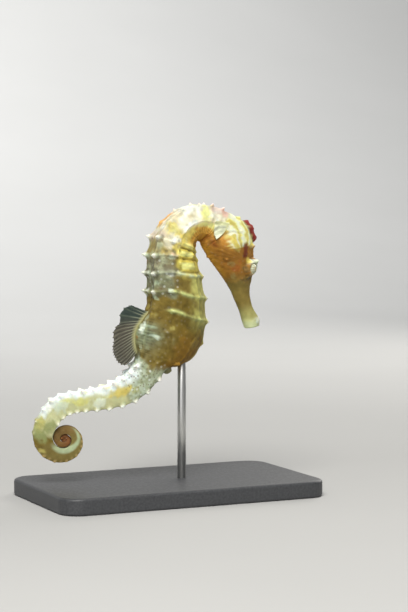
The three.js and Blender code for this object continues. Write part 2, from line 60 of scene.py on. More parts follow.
# %% Stations of the body
# station, back x, back z, belly x, belly z, half width, in mm
BODY = np.array([
    [-10.0, 31.8, 50.3, 26.9, 49.4, 2.2], [-9.3, 31.7, 52.0, 26.2, 51.1, 2.4],
    [-8.4, 29.5, 55.2, 25.0, 54.3, 2.0], [-7.0, 28.3, 58.8, 23.2, 57.8, 2.1],
    [-6.0, 28.1, 61.6, 21.8, 60.7, 2.6], [-5.0, 28.7, 64.7, 19.7, 63.8, 3.6],
    [-4.0, 29.2, 68.6, 16.9, 67.2, 4.4], [-3.0, 29.3, 72.9, 14.0, 70.7, 5.0],
    [-2.0, 28.4, 77.2, 12.2, 73.2, 5.2], [-1.0, 26.0, 81.4, 11.3, 74.5, 4.8],
    [0.0, 21.6, 84.1, 10.8, 75.4, 4.4], [1.0, 17.3, 85.7, 10.5, 75.9, 4.3],
    [2.0, 13.5, 86.8, 10.3, 76.0, 4.5], [3.0, 8.9, 87.0, 9.9, 76.1, 4.8],
    [4.0, 3.4, 85.5, 9.5, 75.8, 5.1], [5.0, -1.3, 82.2, 9.2, 74.9, 5.4],
    [6.0, -4.5, 77.5, 9.1, 72.9, 5.6], [7.0, -5.8, 72.1, 9.5, 70.4, 5.7],
    [8.0, -6.1, 66.7, 10.9, 65.5, 5.8], [9.0, -6.1, 61.3, 12.1, 58.9, 5.8],
    [10.0, -6.4, 56.1, 12.5, 51.9, 5.7], [10.5, -7.7, 53.2, 12.0, 48.5, 5.5],
    [11.0, -8.9, 49.9, 10.9, 45.3, 5.3], [11.5, -9.5, 46.5, 8.3, 41.2, 4.9],
    [12.0, -9.7, 43.7, 4.0, 38.7, 4.4], [12.5, -10.0, 41.6, -0.1, 38.0, 4.1],
    [13.0, -10.8, 39.7, -3.0, 35.0, 3.9], [15.0, -14.8, 35.9, -10.9, 29.0, 3.6],
    [17.0, -20.1, 33.5, -18.6, 26.9, 3.25], [19.0, -26.3, 32.4, -25.4, 26.4, 3.0],
    [21.0, -32.6, 31.3, -29.9, 25.7, 2.9], [22.5, -36.4, 28.8, -32.5, 23.8, 2.85],
    [24.0, -39.4, 24.0, -34.2, 20.6, 2.75],
])
SNOUT_TIP, TRUNK_END, COIL_START, TAIL_TIP = -10.0, 12.5, 24.0, 48.0
print("stations down to the coil:", len(BODY))

# %% [markdown]
# ## The coiled end of the tail
# The tail tip winds into a tight coil, like a fern. The coil could be drawn by hand as a curve, but
# then its turns would have to be fitted to each other one by one. A logarithmic spiral does it with
# a few numbers: each turn shrinks by the same share, and the belly side of one turn lies on the back
# of the next. We add these stations after the ones above.

# %% Stations of the coil
COIL_X, COIL_Z, COIL_RADIUS, COIL_SHRINK = -31.5, 18.2, 9.8, 0.165
COIL_FIRST_ANGLE, COIL_HALF_WIDTH = 143.7, 2.75


def turned_at(n):
    return 0.4 * n + 0.0115 * n * n


def coil_station(n):
    turned = turned_at(n)
    angle = math.radians(COIL_FIRST_ANGLE) + turned
    outer = COIL_RADIUS * math.exp(-COIL_SHRINK * turned)
    inner = COIL_RADIUS * math.exp(-COIL_SHRINK * (turned + 2 * math.pi))
    # over the last turn the inner side closes on the centre, since no further turn fills it
    last_turn = turned_at(TAIL_TIP - COIL_START) - 2 * math.pi
    inner *= 1 - min(1.0, max(0.0, (turned - last_turn) / (2 * math.pi)))
    cos, sin = math.cos(angle), math.sin(angle)
    return [COIL_START + n, COIL_X + outer * cos, COIL_Z + outer * sin, COIL_X + inner * cos,
            COIL_Z + inner * sin, COIL_HALF_WIDTH * (outer / COIL_RADIUS) ** 0.85]


coil = [coil_station(n) for n in np.arange(0.5, TAIL_TIP - COIL_START + 0.1, 0.5)]
STATIONS = np.vstack([BODY, coil])
print("stations:", len(STATIONS), "of which in the coil:", len(coil))

# %% [markdown]
# ## A smooth line through the stations
# Straight lines between the stations would leave a kink at each of them. Blender's own curves could
# round them off, but we need to ask for a point at any station number, so we write the curve out:
# between two stations the back, the belly and the width follow a cubic with matching slopes.

# %% Smooth lines of back, belly and width
KNOTS = STATIONS[:, 0]
SLOPES = np.empty_like(STATIONS)
SLOPES[1:-1] = (STATIONS[2:] - STATIONS[:-2]) / (KNOTS[2:] - KNOTS[:-2])[:, None]
SLOPES[0] = (STATIONS[1] - STATIONS[0]) / (KNOTS[1] - KNOTS[0])
SLOPES[-1] = (STATIONS[-1] - STATIONS[-2]) / (KNOTS[-1] - KNOTS[-2])


def body_line(s):
    i = np.clip(np.searchsorted(KNOTS, s, side="right") - 1, 0, len(KNOTS) - 2)
    h = (KNOTS[i + 1] - KNOTS[i])[:, None]
    f = (s - KNOTS[i])[:, None] / h
    row = ((2 * f**3 - 3 * f**2 + 1) * STATIONS[i] + (f**3 - 2 * f**2 + f) * h * SLOPES[i]
           + (3 * f**2 - 2 * f**3) * STATIONS[i + 1] + (f**3 - f**2) * h * SLOPES[i + 1])
    return row[:, 1:3], row[:, 3:5], row[:, 5]


back_line = body_line(np.linspace(SNOUT_TIP, TAIL_TIP, 600))[0]
print("along its back the animal is", round(float(np.hypot(*np.diff(back_line, axis=0).T).sum())), "mm long")

# %% [markdown]
# ## The section changes along the body
# Cut across, the snout is round, the head is egg-shaped, the trunk has seven ridges and the tail
# is nearly square. One oval for all would be simpler, but it would catch the light wrongly. So we
# name five ridge points from mid-back to mid-belly for each kind of section, as shares of half width
# and half depth, mirror them, and fade from one section to the next. The number t runs around:
# 0 mid-back, 2 the right side, 4 mid-belly, 6 the left side.

# %% Sections
SECTION = {
    "snout": [[0, 1], [0.7, 0.71], [1, 0], [0.7, -0.71], [0, -1]],
    "head": [[0, 1], [0.5, 0.8], [1, 0.05], [0.8, -0.62], [0, -1]],
    "trunk": [[0, 0.93], [0.58, 0.93], [1, 0.12], [0.72, -0.56], [0, -1]],
    "tail": [[0, 0.86], [0.84, 0.92], [0.97, 0], [0.84, -0.92], [0, -0.86]],
}
SECTION_AT = [(-10, "snout"), (-6.3, "snout"), (-4, "head"), (-1, "head"), (1.5, "trunk"),
              (11.5, "trunk"), (14, "tail"), (48, "tail")]
FLAT_AT = [(-10, 0), (-1, 0), (1.5, 0.4), (7, 0.5), (9, 0.3), (10, 0.12), (12, 0.15), (14, 0.35), (26, 0.35),
           (30, 0.5), (48, 0.5)]


def section_shares(s, t):
    at = np.array([a for a, _ in SECTION_AT], float)
    shape = np.array([SECTION[name] for _, name in SECTION_AT], float).reshape(len(at), 10)
    right = np.stack([np.interp(s, at, shape[:, k]) for k in range(10)], 1).reshape(-1, 5, 2)
    left = right[:, [3, 2, 1]] * np.array([-1, 1])
    ridges = np.concatenate([right, left], 1)
    k = np.floor(t).astype(int)
    f = (t - k)[None, :, None]
    p0, p1, p2, p3 = (ridges[:, (k + step) % 8] for step in (-1, 0, 1, 2))
    dent = np.interp(s, [12, 14], [0.1, 0.0])[:, None, None]
    flat = (p1 * (1 - f) + p2 * f) * (1 - dent * 4 * f * (1 - f))
    soft = 0.5 * (2 * p1 + (p2 - p0) * f + (2 * p0 - 5 * p1 + 4 * p2 - p3) * f**2
                  + (3 * p1 - p0 - 3 * p2 + p3) * f**3)
    share = np.interp(s, *zip(*FLAT_AT))[:, None, None]
    return soft * (1 - share) + flat * share
print("sections:", ", ".join(SECTION))

# %% [markdown]
# ## The plain body
# Now any pair (s, t) is a point: go to the station, step out to the section. The height lifts it
# off the body along the same step. The whole body bows a little to its left, as it does when the
# animal looks aside. A bend modifier could do that, but wrapping the points around a shallow curve
# here keeps everything we place later, such as fins and eyes, in step with it.

# %% Plain body and its outward direction
BOW, BOW_X = 0.008, 2.0


def bow(x, y, z):
    q = BOW * (x - BOW_X)
    n = np.sqrt(1 + q * q)
    return np.stack([x - y * q / n, 0.5 * BOW * (x - BOW_X) ** 2 + y / n, z], -1)


def raised(s, t, height):
    back, belly, half = body_line(s)
    share = section_shares(s, t)
    a, b = share[..., 0], share[..., 1]
    mid, reach = (back + belly) / 2, (back - belly) / 2
    depth = np.hypot(reach[:, 0], reach[:, 1])
    lift = height / np.maximum(np.hypot(a, b), 0.2)
    along = reach[:, :, None] * b[:, None, :] * (1 + lift / depth[:, None])[:, None, :]
    return bow(mid[:, 0, None] + along[:, 0], -half[:, None] * a - a * lift,
               mid[:, 1, None] + along[:, 1])
ring_8 = raised(np.array([8.0]), np.arange(0, 8, 0.5), np.zeros((1, 16)))[0]
print("ring 8 measures", np.round(np.ptp(ring_8, axis=0), 1), "mm in x, y and z")

# %% [markdown]
# ## Rows and columns where they are needed
# The skin is one grid of small faces. Spines and ring lines are sharper than what lies between
# them. An even grid fine enough for the spines would have many times as many faces, so rows crowd
# towards each ring and columns towards each ridge.

# %% Rows along the body, columns around it


def crowded(start, stop, per_unit, pull=0.5):
    g = np.arange(0, (stop - start) * per_unit) / per_unit
    return start + g - pull * np.sin(2 * np.pi * (g + start)) / (2 * np.pi)


rows = np.concatenate([
    np.linspace(SNOUT_TIP, 0, 200, endpoint=False), crowded(0, 12, 24),
    crowded(12, COIL_START, 16), crowded(COIL_START, TAIL_TIP, 8), [TAIL_TIP]])
cols = crowded(0, 8, 18, 0.4)
plain = raised(rows, cols, np.zeros((len(rows), len(cols))))
S, T = rows[:, None], cols[None, :]
side = np.minimum(T, 8 - T)
# how many mm one step of s or of t covers, at every point of the grid
mm_s = np.linalg.norm(np.gradient(plain, rows, axis=0), axis=-1)
step_t = (np.roll(cols, -1) - np.roll(cols, 1)) % 8
mm_t = np.linalg.norm(np.roll(plain, -1, 1) - np.roll(plain, 1, 1), axis=-1) / step_t
print("grid", len(rows), "x", len(cols), "finest row step", round(float(mm_s.min()), 3), "mm per unit")

# %% [markdown]
# ## Tools for relief
# Relief is a height in mm at every grid point, raised along the outward direction. It could be
# sculpted with brushes, but a height that is written down can be repeated for every ring. A few
# tools make nearly everything: a ramp up, a ramp down, a bell, a spine and a soft bump. Distances
# are measured in mm on the skin, so a spine stays round even where the grid is stretched.

# %% Ramps and waves


def smooth(x):
    x = np.clip(x, 0, 1)
    return x * x * (3 - 2 * x)


def rise(x, start, over):
    return smooth((x - start) / over)


def fall(x, end, over):
    return smooth((end - x) / over)


def bell(x):
    return np.exp(-x * x)


def wave(turns):
    return np.cos(2 * np.pi * turns)


print("a ramp at a quarter and a half of its way:", float(smooth(0.25)), float(smooth(0.5)))

# %% [markdown]
# A spine is a cone with hollow sides and a slightly rounded tip, and a bump is a soft mound with two
# radii. Both add to the height around one place, and on the other side of the body as well, so we
# only ever place the right half. Looking only at the rows nearby keeps them quick.

# %% Spine and bump


def distances(s0, t0, near):
    dt = (T - t0 + 4) % 8 - 4
    return (S[near] - s0) * mm_s[near], dt * mm_t[near]


def both_sides(t0):
    return [t0] if t0 in (0, 4) else [t0, 8 - t0]


def spine(height, s0, t0, tall, radius, sharp=1.5):
    near = np.abs(rows - s0) < 1.2
    for t1 in both_sides(t0):
        ds, dt = distances(s0, t1, near)
        r = np.sqrt(ds**2 + dt**2 + (0.08 * radius) ** 2) / radius
        height[near] += tall * np.clip(1 - r, 0, 1) ** sharp


def bump(height, s0, t0, tall, along, across, blunt=1):
    near = np.abs(rows - s0) < 2.4
    for t1 in both_sides(t0):
        ds, dt = distances(s0, t1, near)
        q = ((ds / along) ** 2 + (dt / across) ** 2) ** blunt
        height[near] += tall * np.clip(1 - q, 0, 1) ** 2


under_spine = np.hypot(*distances(8, 1, slice(None))) < 1
print("a spine of radius 1 mm at ring 8 stands on", int(under_spine.sum()), "points")

# %% [markdown]
# ## Noise
# Nothing that grew is even. The noise below gives a value between 0 and 1 that changes softly over a
# chosen number of millimetres. Blender has noise for materials, but we need it in the shape as well,
# and the same noise in both lets colour follow relief. The seed is fixed, so each run is the same.

# %% Noise in space
rng = np.random.default_rng(7)
LATTICE = rng.random((32, 32, 32))


def noise(points, size, shift=0.0):
    p = points / size + shift
    i = np.floor(p).astype(int)
    f = smooth(p - i)
    value = 0
    for corner in range(8):
        step = np.array([corner & 1, corner >> 1 & 1, corner >> 2])
        weight = np.prod(np.where(step, f, 1 - f), -1)
        j = (i + step) % 32
        value = value + weight * LATTICE[j[..., 0], j[..., 1], j[..., 2]]
    return value


coarse, medium, fine = noise(plain, 2.6), noise(plain, 1.1, 5.3), noise(plain, 0.5, 9.1)
print("noise ranges from", round(float(fine.min()), 2), "to", round(float(fine.max()), 2))

# %% [markdown]
# ## Where rings, folds and ridges show
# Each bony ring shows as a raised line, but not everywhere: the throat is smooth, the upper belly is
# soft and folds instead, and the coil's inner side is pressed flat. Before raising anything we
# make a mask for each of these places. Masks are better than separate meshes here, because one
# skin then blends from one place to the next without a seam.

# %% Masks for the relief
ride_up = 0.16 * bell((side - 1.7) / 0.55) * rise(S, 6.3, 0.8) * fall(S, 12, 0.6)
ring = np.round(S + ride_up)
off_ring = (S + ride_up - ring) * mm_s
scale = np.interp(S, [0, 12, 24, 27, 32, 40, 48], [1, 0.9, 0.7, 0.4, 0.25, 0.12, 0.08])
ringed = rise(S, 0.4, 0.5)
in_throat = fall(S, 4.8, 1.0) * rise(side, 2.2, 0.8) * (S > -1)
in_coil_belly = rise(S, 23.5, 1) * rise(side, 2.2, 0.5)
folded = rise(S, 5.3, 0.6) * fall(S, 7.95, 0.2) * fall(side, 3.9, 0.3)
folded *= rise(side + 0.5 * (medium - 0.5), 1.95, 0.35)
low_flank = np.maximum(rise(S, 10.3, 0.5), rise(S, 9.3, 0.3) * fall(side, 1.75, 0.3)) * fall(S, 13.8, 0.6)
print("share of the grid that folds:", round(float((folded > 0.5).mean()), 3))

# %% [markdown]
# ## Ring lines and sunk panels
# On the flanks the ring lines ride up a little towards the back, and between two rings the skin
# sinks, so the outline is scalloped. A tube could be laid over the body for each ring, but it would sit
# on the skin and not grow from it. A bell across the ring number raises the same skin.

# %% Ring lines and sunk panels
relief = np.zeros(plain.shape[:2])
line_width = (0.58 + 0.15 * (medium - 0.5)) * np.maximum(scale, 0.35)
calm = np.interp(S, [0, 5, 6.2, 12, 13.5, 18, 20, 25, 28], [0.2, 0.2, 0.85, 1, 0.3, 0.25, 0.12, 0.12, 0.25])
ring_line = bell(off_ring / line_width) * ringed * (1 - 0.85 * in_throat) * (1 - in_coil_belly)
relief += 0.32 * scale * calm * ring_line * (1 - folded) * (1 - 0.85 * low_flank)
between = np.sin(np.pi * (S + ride_up)) ** 2
sunk = np.where(S < COIL_START, 0.26, 0.05) * scale
relief -= sunk * calm * between * ringed * (1 - folded) * (1 - in_throat) * (1 - 0.75 * low_flank)
relief += 0.55 * (coarse - 0.5) * rise(S, 0.5, 1.5) * fall(S, 6.5, 1.0) * (1 - in_throat)
print("rings stand", round(float(relief.max()), 2), "mm out, panels sink", round(float(-relief.min()), 2))

# %% [markdown]
# ## Folds and wrinkles
# On the upper belly the skin is soft and puffs out in folds, and under the neck it creases where
# the head bows. Cloth simulation could fold it, but these folds keep their place on a real animal,
# so a rounded wave along the body is enough, with a slower wave across it to break it up.

# %% Folds of the belly, wrinkles of the throat
FOLD_PITCH, FOLD_PHASE = 0.8, 6.65
puff = np.sqrt(0.5 + 0.5 * wave((S - FOLD_PHASE) / FOLD_PITCH))
relief += folded * (0.5 * puff - 0.15 + 0.12 * wave(side * 1.3 + 0.6 * S))
relief += 0.06 * folded * wave(3.7 * S + 0.8 * medium)
wrinkles = rise(S, 0.2, 0.8) * fall(S, 5.4, 0.8) * rise(side, 2.3, 0.6)
relief += 0.1 * wrinkles * wave(2.5 * S)
fold_step = FOLD_PITCH * mm_s[np.searchsorted(rows, 6.5)].mean()
print("from one fold to the next:", round(float(fold_step), 1), "mm")

# %% [markdown]
# ## Ridges
# Seven ridges run along the trunk and four along the tail, where the plates of bone meet at an
# angle. The section already has corners there, so each ridge only needs a thin bell on top.

# %% Ridges along the body
for ridge, tall in ((1, 0.18), (2, 0.06), (3, 0.08), (4, 0.3), (5, 0.08), (6, 0.06), (7, 0.18)):
    across = ((T - ridge + 4) % 8 - 4) * mm_t
    along_trunk = rise(S, 0.6, 0.8) * fall(S, 12.6, 1.0) * (1 - 0.7 * folded)
    along_tail = rise(S, 12.2, 1.0) * (ridge % 2) * 0.35 * (1 - in_coil_belly)
    keep = along_trunk * (1 - in_throat) * (1 - 0.8 * low_flank * (ridge != 4)) + along_tail
    relief += tall * scale * keep * bell(across / (0.42 * np.maximum(scale, 0.4)))
print("ring relief from", round(float(relief.min()), 2), "to", round(float(relief.max()), 2), "mm")

# %% [markdown]
# ## Spines of the trunk and tail
# Where a ring crosses a ridge the bone grows into a spine. The upper ridges carry the sharp ones,
# the flanks have blunt knobs and the keel of the belly a row of small points. On the neck they are
# short. Along the tail every third upper spine is taller, and they fade towards the coil. Cones
# stuck on would show a hard edge at their feet, so we raise the skin itself, with hollow sides.

# %% Spines of the trunk
UPPER_SPINES = [1.2, 1.2, 0.9, 0.9, 0.35, 1.45, 1.6, 1.6, 1.5, 0.15, 0.15]
spines = np.zeros_like(relief)
for r, tall in enumerate(UPPER_SPINES, 1):
    on_neck = r < 5
    spine(spines, r, 0.88 if on_neck else 1.0, tall, 0.85 if on_neck else 1.3)
    spine(spines, r - 0.15, 1.72, 0.5 if r > 5 else 0.25, 1.0, 1.0)
    if r > 7:
        spine(spines, r, 3, 0.25, 0.8, 1.2)
        spine(spines, r, 4, 0.85, 1.5, 1.3)
for s0 in (6.1, 6.5, 6.9, 7.3, 7.65):
    spine(spines, s0, 3.85, 0.22, 0.5, 1.0)
print("tallest spine of the trunk", round(float(spines.max()), 2), "mm")

# %% [markdown]
# The tail has too many rings to list its spines one by one. They follow a rule instead: tall, short,
# short, and a little less at every ring, so a loop with a fading factor sets them all.

# %% Spines of the tail
TAIL_SPINES_END = 40
for r in range(12, TAIL_SPINES_END):
    on_straight = r < 25
    fade = max(0.0, 1 - (r - 12) / (26 if on_straight else 22))
    tall = 0.4 if r == 12 else (1.75 if r % 3 == 1 else 1.2) * fade
    spine(spines, r, 1, tall if on_straight else 0.55 * tall, 0.5 + 0.9 * fade, 1.3)
    if r < COIL_START:
        spine(spines, r, 3, 0.95 * fade, 1.15, 0.8)
print("tallest spine of the tail", round(float(spines[rows > 12.5].max()), 2), "mm")

# %% [markdown]
# ## Foot of the dorsal fin
# The dorsal fin stands on a raised mound that spans the last trunk rings, with small folds across
# it where the muscles of the fin rays sit. A separate lump would show a joint, so it is one long
# soft bump along mid-back, with a shallow rim around it.

# %% Mound under the dorsal fin
mound = np.clip(1 - ((S - 11.2) / 1.35) ** 2 - (side / 1.15) ** 2, 0, 1) ** 2
relief += 1.9 * mound
mound_zone = rise(S, 10.2, 0.3) * fall(S, 12.3, 0.3) * fall(side, 1.6, 0.5)
relief += 0.06 * mound_zone * rise(side, 0.2, 0.3) * wave(8 * S)
mound_rho = np.hypot((S - 11.25) * mm_s / 5.2, (side - 0.3) * mm_t / 5.4)
relief += 0.3 * bell((mound_rho - 0.95) / 0.14) * rise(side, 0.6, 0.5) * (S > 10) * (S < 12.5)
print("with the mound the relief reaches", round(float(relief.max()), 2), "mm")

# %% [markdown]
# ## The head: cheeks, gill covers and crown
# Real seahorse heads are bone under thin skin, so every plate shows. The gill cover is the large
# swelling behind the eye, with fine ridges fanning out over it and a groove around its rear edge,
# where the gill opens. A few short spines stand on the cheek, throat, nape and nose. A fan is a
# pattern of angles, so we measure the angle around a point behind the eye and put a wave on it.

# %% Cheek and head spines
head = np.zeros_like(relief)
bump(head, -2.2, 2.5, 0.8, 5.6, 4.6)
for s0, t0, tall, radius in ((-2.65, 1.0, 0.95, 1.1), (-3.2, 2.95, 0.6, 0.9), (-2.85, 3.9, 0.55, 0.8),
                             (-0.45, 0.6, 0.85, 1.2), (-5.3, 0.0, 0.5, 1.0), (-4.9, 2.3, 0.3, 0.8),
                             (-1.2, 1.5, 0.35, 0.9)):
    spine(head, s0, t0, tall, radius, 1.3)
print("head spines up to", round(float(head.max()), 2), "mm with the cheek")

# %% [markdown]
# The gill cover's rim and the ridges of nose and brow are lines on the skin. A bell across the
# distance from a curve draws each of them, and ramps along it let the line fade out at its ends.

# %% Gill cover, nose and brow
fan_s, fan_t = (S + 3.5) * 4.2, (side - 2.0) * 4.2
fan_angle = np.arctan2(fan_t, fan_s)
fan_reach = np.hypot(fan_s, fan_t)
on_gill = rise(fan_reach, 1.5, 1.5) * fall(fan_reach, 10.5, 2) * (S > -4.2) * fall(S, 0.2, 0.5)
head += 0.028 * on_gill * np.cos(26 * fan_angle + 2.5 * coarse)
gill_rho = np.sqrt(((S + 2.35) / 1.72) ** 2 + ((side - 2.55) / 1.25) ** 2)
head -= 0.18 * bell((gill_rho - 1.0) / 0.075) * rise(S, -2.1, 0.7) * rise(side, 1.3, 0.5)
head += 0.16 * bell(side * mm_t / 0.6) * rise(S, -9.2, 0.8) * fall(S, -2.6, 0.8)
head += 0.16 * bell((side - 1.0) * mm_t / 0.6) * rise(S, -6.0, 1.0) * fall(S, -0.6, 1.0)
print("head relief from", round(float(head.min()), 2), "to", round(float(head.max()), 2), "mm")

# %% [markdown]
# ## Eye turrets
# A seahorse turns each eye on its own, so each sits in a small turret of skin. A ball pushed into a
# flat cheek would look like a bead. We raise a blunt mound, sink a pit into it for the ball, put a
# thin lid around the pit and a spine above it.

# %% Turret, pit and lid around each eye
EYE_S, EYE_T = -4.15, 1.45
bump(head, EYE_S, EYE_T, 1.5, 3.0, 2.9, 2)
for t0 in both_sides(EYE_T):
    near = np.abs(rows - EYE_S) < 2
    ds, dt = distances(EYE_S, t0, near)
    r = np.hypot(ds, dt)
    head[near] -= 1.9 * (1 - rise(r, 1.1, 0.5))
    head[near] += 0.24 * bell((r - 1.8) / 0.24)
    head[near] += 0.07 * bell((r - 2.4) / 0.5) * np.cos(11 * np.arctan2(dt, ds))
spine(head, -3.68, 1.15, 2.0, 1.25, 1.3)
spine(head, -4.85, 1.75, 0.55, 0.8, 1.2)
print("the turret stands", round(float(head[near].max()), 2), "mm out with its spine")

# %% [markdown]
# ## The coronet
# The coronet is the little crown of bone on top of the head, and no two seahorses have the same
# one. This one is low and long, with five blunt points and a shallow hollow in the middle. It could
# be a mesh of its own, but it grows out of the skin, so it is relief too and has no seam.

# %% Coronet
crown_along = (S + 1.66) * mm_s / 3.35
crown_across = ((T + 4) % 8 - 4) * mm_t / 1.55
crown_rho = np.hypot(crown_along, crown_across)
crown_angle = np.arctan2(crown_across, crown_along)
crown_points = (0.5 + 0.5 * np.cos(5 * crown_angle)) ** 2
crown_wall = fall(crown_rho, 1.3, 0.42)
coronet = crown_wall * (1.5 + 0.85 * crown_points * smooth(crown_rho - 0.1) - 0.5 * bell(crown_rho / 0.55))
coronet *= 1 - 0.18 * bell((np.sin(2.5 * crown_angle)) / 0.3) * crown_wall
head += coronet
print("coronet stands", round(float(coronet.max()), 2), "mm high")

# %% [markdown]
# ## Small unevenness
# Last comes what makes it look grown: grains and pores a fraction of a millimetre high, stronger
# over the trunk's bony back and weaker on the snout. Then all heights are added, the points are
# raised, and the tail's spines are leaned towards its tip, as they lie on the animal.

# %% Grain, and the finished skin
SPINE_LEAN = 0.17
grain_share = np.interp(S, [-10, -6, 0, 2, 12, 16, 24, 30, 47], [0.3, 0.5, 0.8, 1, 1, 0.6, 0.5, 0.3, 0.1])
grain = grain_share * (0.16 * (medium - 0.5) + 0.1 * (fine - 0.5))
grain *= 1 + 0.8 * fall(side, 2.4, 0.6) * (S > 5)
height = relief + spines + head + grain
skin = raised(rows, cols, height)
lean = np.where(S > 12.5, SPINE_LEAN, 0.0) * np.maximum(0, spines - 0.15)
skin += np.gradient(plain, rows, axis=0) * lean[..., None]
print("skin grid spans", np.round(skin.reshape(-1, 3).min(0), 1), np.round(skin.reshape(-1, 3).max(0), 1))

# %% [markdown]
# ## Painting by region
# The colours belong to places on the animal: cream over the neck, frost grey with freckles over
# the back, bright yellow folds on the upper belly, olive below, orange-brown cheeks. One could unwrap
# the mesh and paint a picture for it. Here each region is a soft mask in s and t, its edges broken up
# by noise so that none looks ruled, and each blotch is a dab with a place and two radii in mm. We lay
# them in order, as a model painter does with thin coats.

# %% Brush
tint = np.empty(plain.shape)
ragged = 0.55 * (coarse - 0.5) + 0.35 * (medium - 0.5)
s_ragged, side_ragged = S + 0.9 * ragged, side + 0.7 * ragged
clouds = noise(plain, 1.5, 2.2)


def window(x, low, high, soft=0.4):
    return smooth((x - low) / soft + 0.5) * smooth((high - x) / soft + 0.5)


def paint(mask, colour, amount=1.0):
    m = np.clip(mask * amount, 0, 1)[..., None]
    tint[:] = tint * (1 - m) + np.array(colour) * m


def dab(s0, t0, along, across, colour, amount=1.0, soft=0.7, rough=1.0):
    reach = np.hypot((S - s0) * mm_s / along, (side - t0) * mm_t / across)
    edge = 0.9 * (medium - 0.5) + 0.4 * (fine - 0.5)
    paint(smooth((1.05 - reach + rough * edge) / soft + 0.2), colour, amount)


def dabs(*strokes):
    for stroke in strokes:
        dab(*stroke)


def show_mean(part, low, high):
    chosen = tint[(rows >= low) & (rows < high)]
    print(part + ", mean colour:", np.round(chosen.mean((0, 1)), 3))


print("the brush reaches", tint.shape[0] * tint.shape[1], "grid points")

# %% [markdown]
# A small palette keeps the animal in one family of colours. The values are plain shares of light,
# not screen values, so they look darker here than they do in the picture.

# %% Palette
UMBER, PEAT, DUSK, WINE = (0.11, 0.065, 0.025), (0.19, 0.12, 0.038), (0.15, 0.13, 0.075), (0.15, 0.030, 0.014)
OLIVE, BARK, DUN, SHELL = (0.165, 0.118, 0.020), (0.24, 0.18, 0.044), (0.29, 0.24, 0.08), (0.20, 0.158, 0.046)
GOLD, AMBER, TAWNY = (0.27, 0.145, 0.018), (0.33, 0.155, 0.024), (0.46, 0.22, 0.035)
HONEY, APRICOT, ORANGE = (0.40, 0.28, 0.05), (0.57, 0.31, 0.05), (0.74, 0.38, 0.09)
RUST, BRICK, CRIMSON = (0.27, 0.085, 0.015), (0.35, 0.09, 0.019), (0.28, 0.035, 0.030)
YELLOW, OCHRE, SUN = (0.66, 0.58, 0.12), (0.63, 0.54, 0.135), (0.60, 0.50, 0.115)
LEMON, BUTTER, PRIMROSE = (0.565, 0.57, 0.175), (0.60, 0.58, 0.22), (0.86, 0.76, 0.27)
LIME, STRAW, SAND, KHAKI = (0.72, 0.74, 0.28), (0.48, 0.54, 0.21), (0.56, 0.50, 0.15), (0.40, 0.34, 0.15)
CITRON, FERN = (0.42, 0.41, 0.13), (0.26, 0.30, 0.115)
FROST, SAGE, STONE = (0.24, 0.235, 0.145), (0.188, 0.205, 0.113), (0.41, 0.45, 0.29)
LICHEN, MINT, FOAM = (0.33, 0.41, 0.28), (0.50, 0.60, 0.43), (0.57, 0.67, 0.55)
PARCHMENT, CREAM, PINK = (0.56, 0.50, 0.30), (0.72, 0.70, 0.54), (0.74, 0.47, 0.40)
CHALK, WHITE, SNOW = (0.68, 0.77, 0.65), (0.78, 0.83, 0.76), (0.84, 0.95, 0.95)
print("lightest and darkest on the palette:", SNOW, WINE)

# %% [markdown]
# ## The trunk
# Olive goes on first, all over. The belly turns golden low down and lemon along its front, and the
# folds are yellow, with painted shade (honey) in the grooves and a painted highlight (lime) on their
# crests. The fold mask that raised the folds also colours them, so paint and shape can't drift apart.

# %% Ground colour and belly
tint[:] = OLIVE
paint(window(s_ragged, 10.9, 12.7, 1.2) * rise(side_ragged, 1.9, 0.9), GOLD, 0.8)
paint(window(s_ragged, 7.6, 9.2, 0.5) * rise(side_ragged, 1.75, 0.4), BARK, 0.7)
front_share = np.interp(S, [8.9, 9.3, 9.6, 9.9], [0.85, 0.45, 0.45, 0.85])
paint(window(S, 5.5, 10.3, 1.0) * rise(side_ragged, 2.35, 0.6) * front_share, LEMON)
paint(window(s_ragged, 5.0, 7.95, 0.3) * rise(side_ragged, 1.7, 0.4), YELLOW)
# painted shade: honey darkens the grooves between the folds
paint(folded * (1 - puff) ** 1.5, HONEY, 0.85)
# painted highlight: lime lightens the crests of the folds
paint(folded * rise(puff, 0.6, 0.25) * window(side_ragged, 1.95, 3.0, 0.4), LIME, 0.85)
show_mean("the belly", 5.5, 8)

# %% [markdown]
# Frost grey covers the upper back, down to a ragged edge on the flank. A flat grey would look like
# primer, so clouds of paler and darker grey go over it, again from noise.

# %% Frost over the back
frost_edge = np.interp(S, [6.2, 7, 8, 8.6, 9], [1.5, 1.7, 1.85, 1.75, 1.8])
paint(window(s_ragged, 5.6, 7.1, 0.5) * fall(side_ragged, 1.9, 0.4), KHAKI, 0.85)
paint(window(s_ragged, 6.95, 8.9, 0.6) * smooth((frost_edge - side_ragged) / 0.5 + 0.4), FROST)
paint(window(s_ragged, 8.05, 9.05, 0.5) * fall(side_ragged, 1.9, 0.3), SAGE, 0.85)
back_mottle = smooth((frost_edge - side_ragged) / 0.4 + 0.3) * window(S, 6.6, 9.1, 0.5)
paint(back_mottle * rise(clouds, 0.52, 0.2), STONE, 0.65)
paint(back_mottle * fall(clouds, 0.42, 0.2), DUSK, 0.7)
show_mean("the back", 7, 9)

# %% [markdown]
# The neck is cream with white clouds and a blush of pink behind the head. Below it the arch of the
# throat is apricot, and its upper edge follows a table of places, since no simple curve fits it.

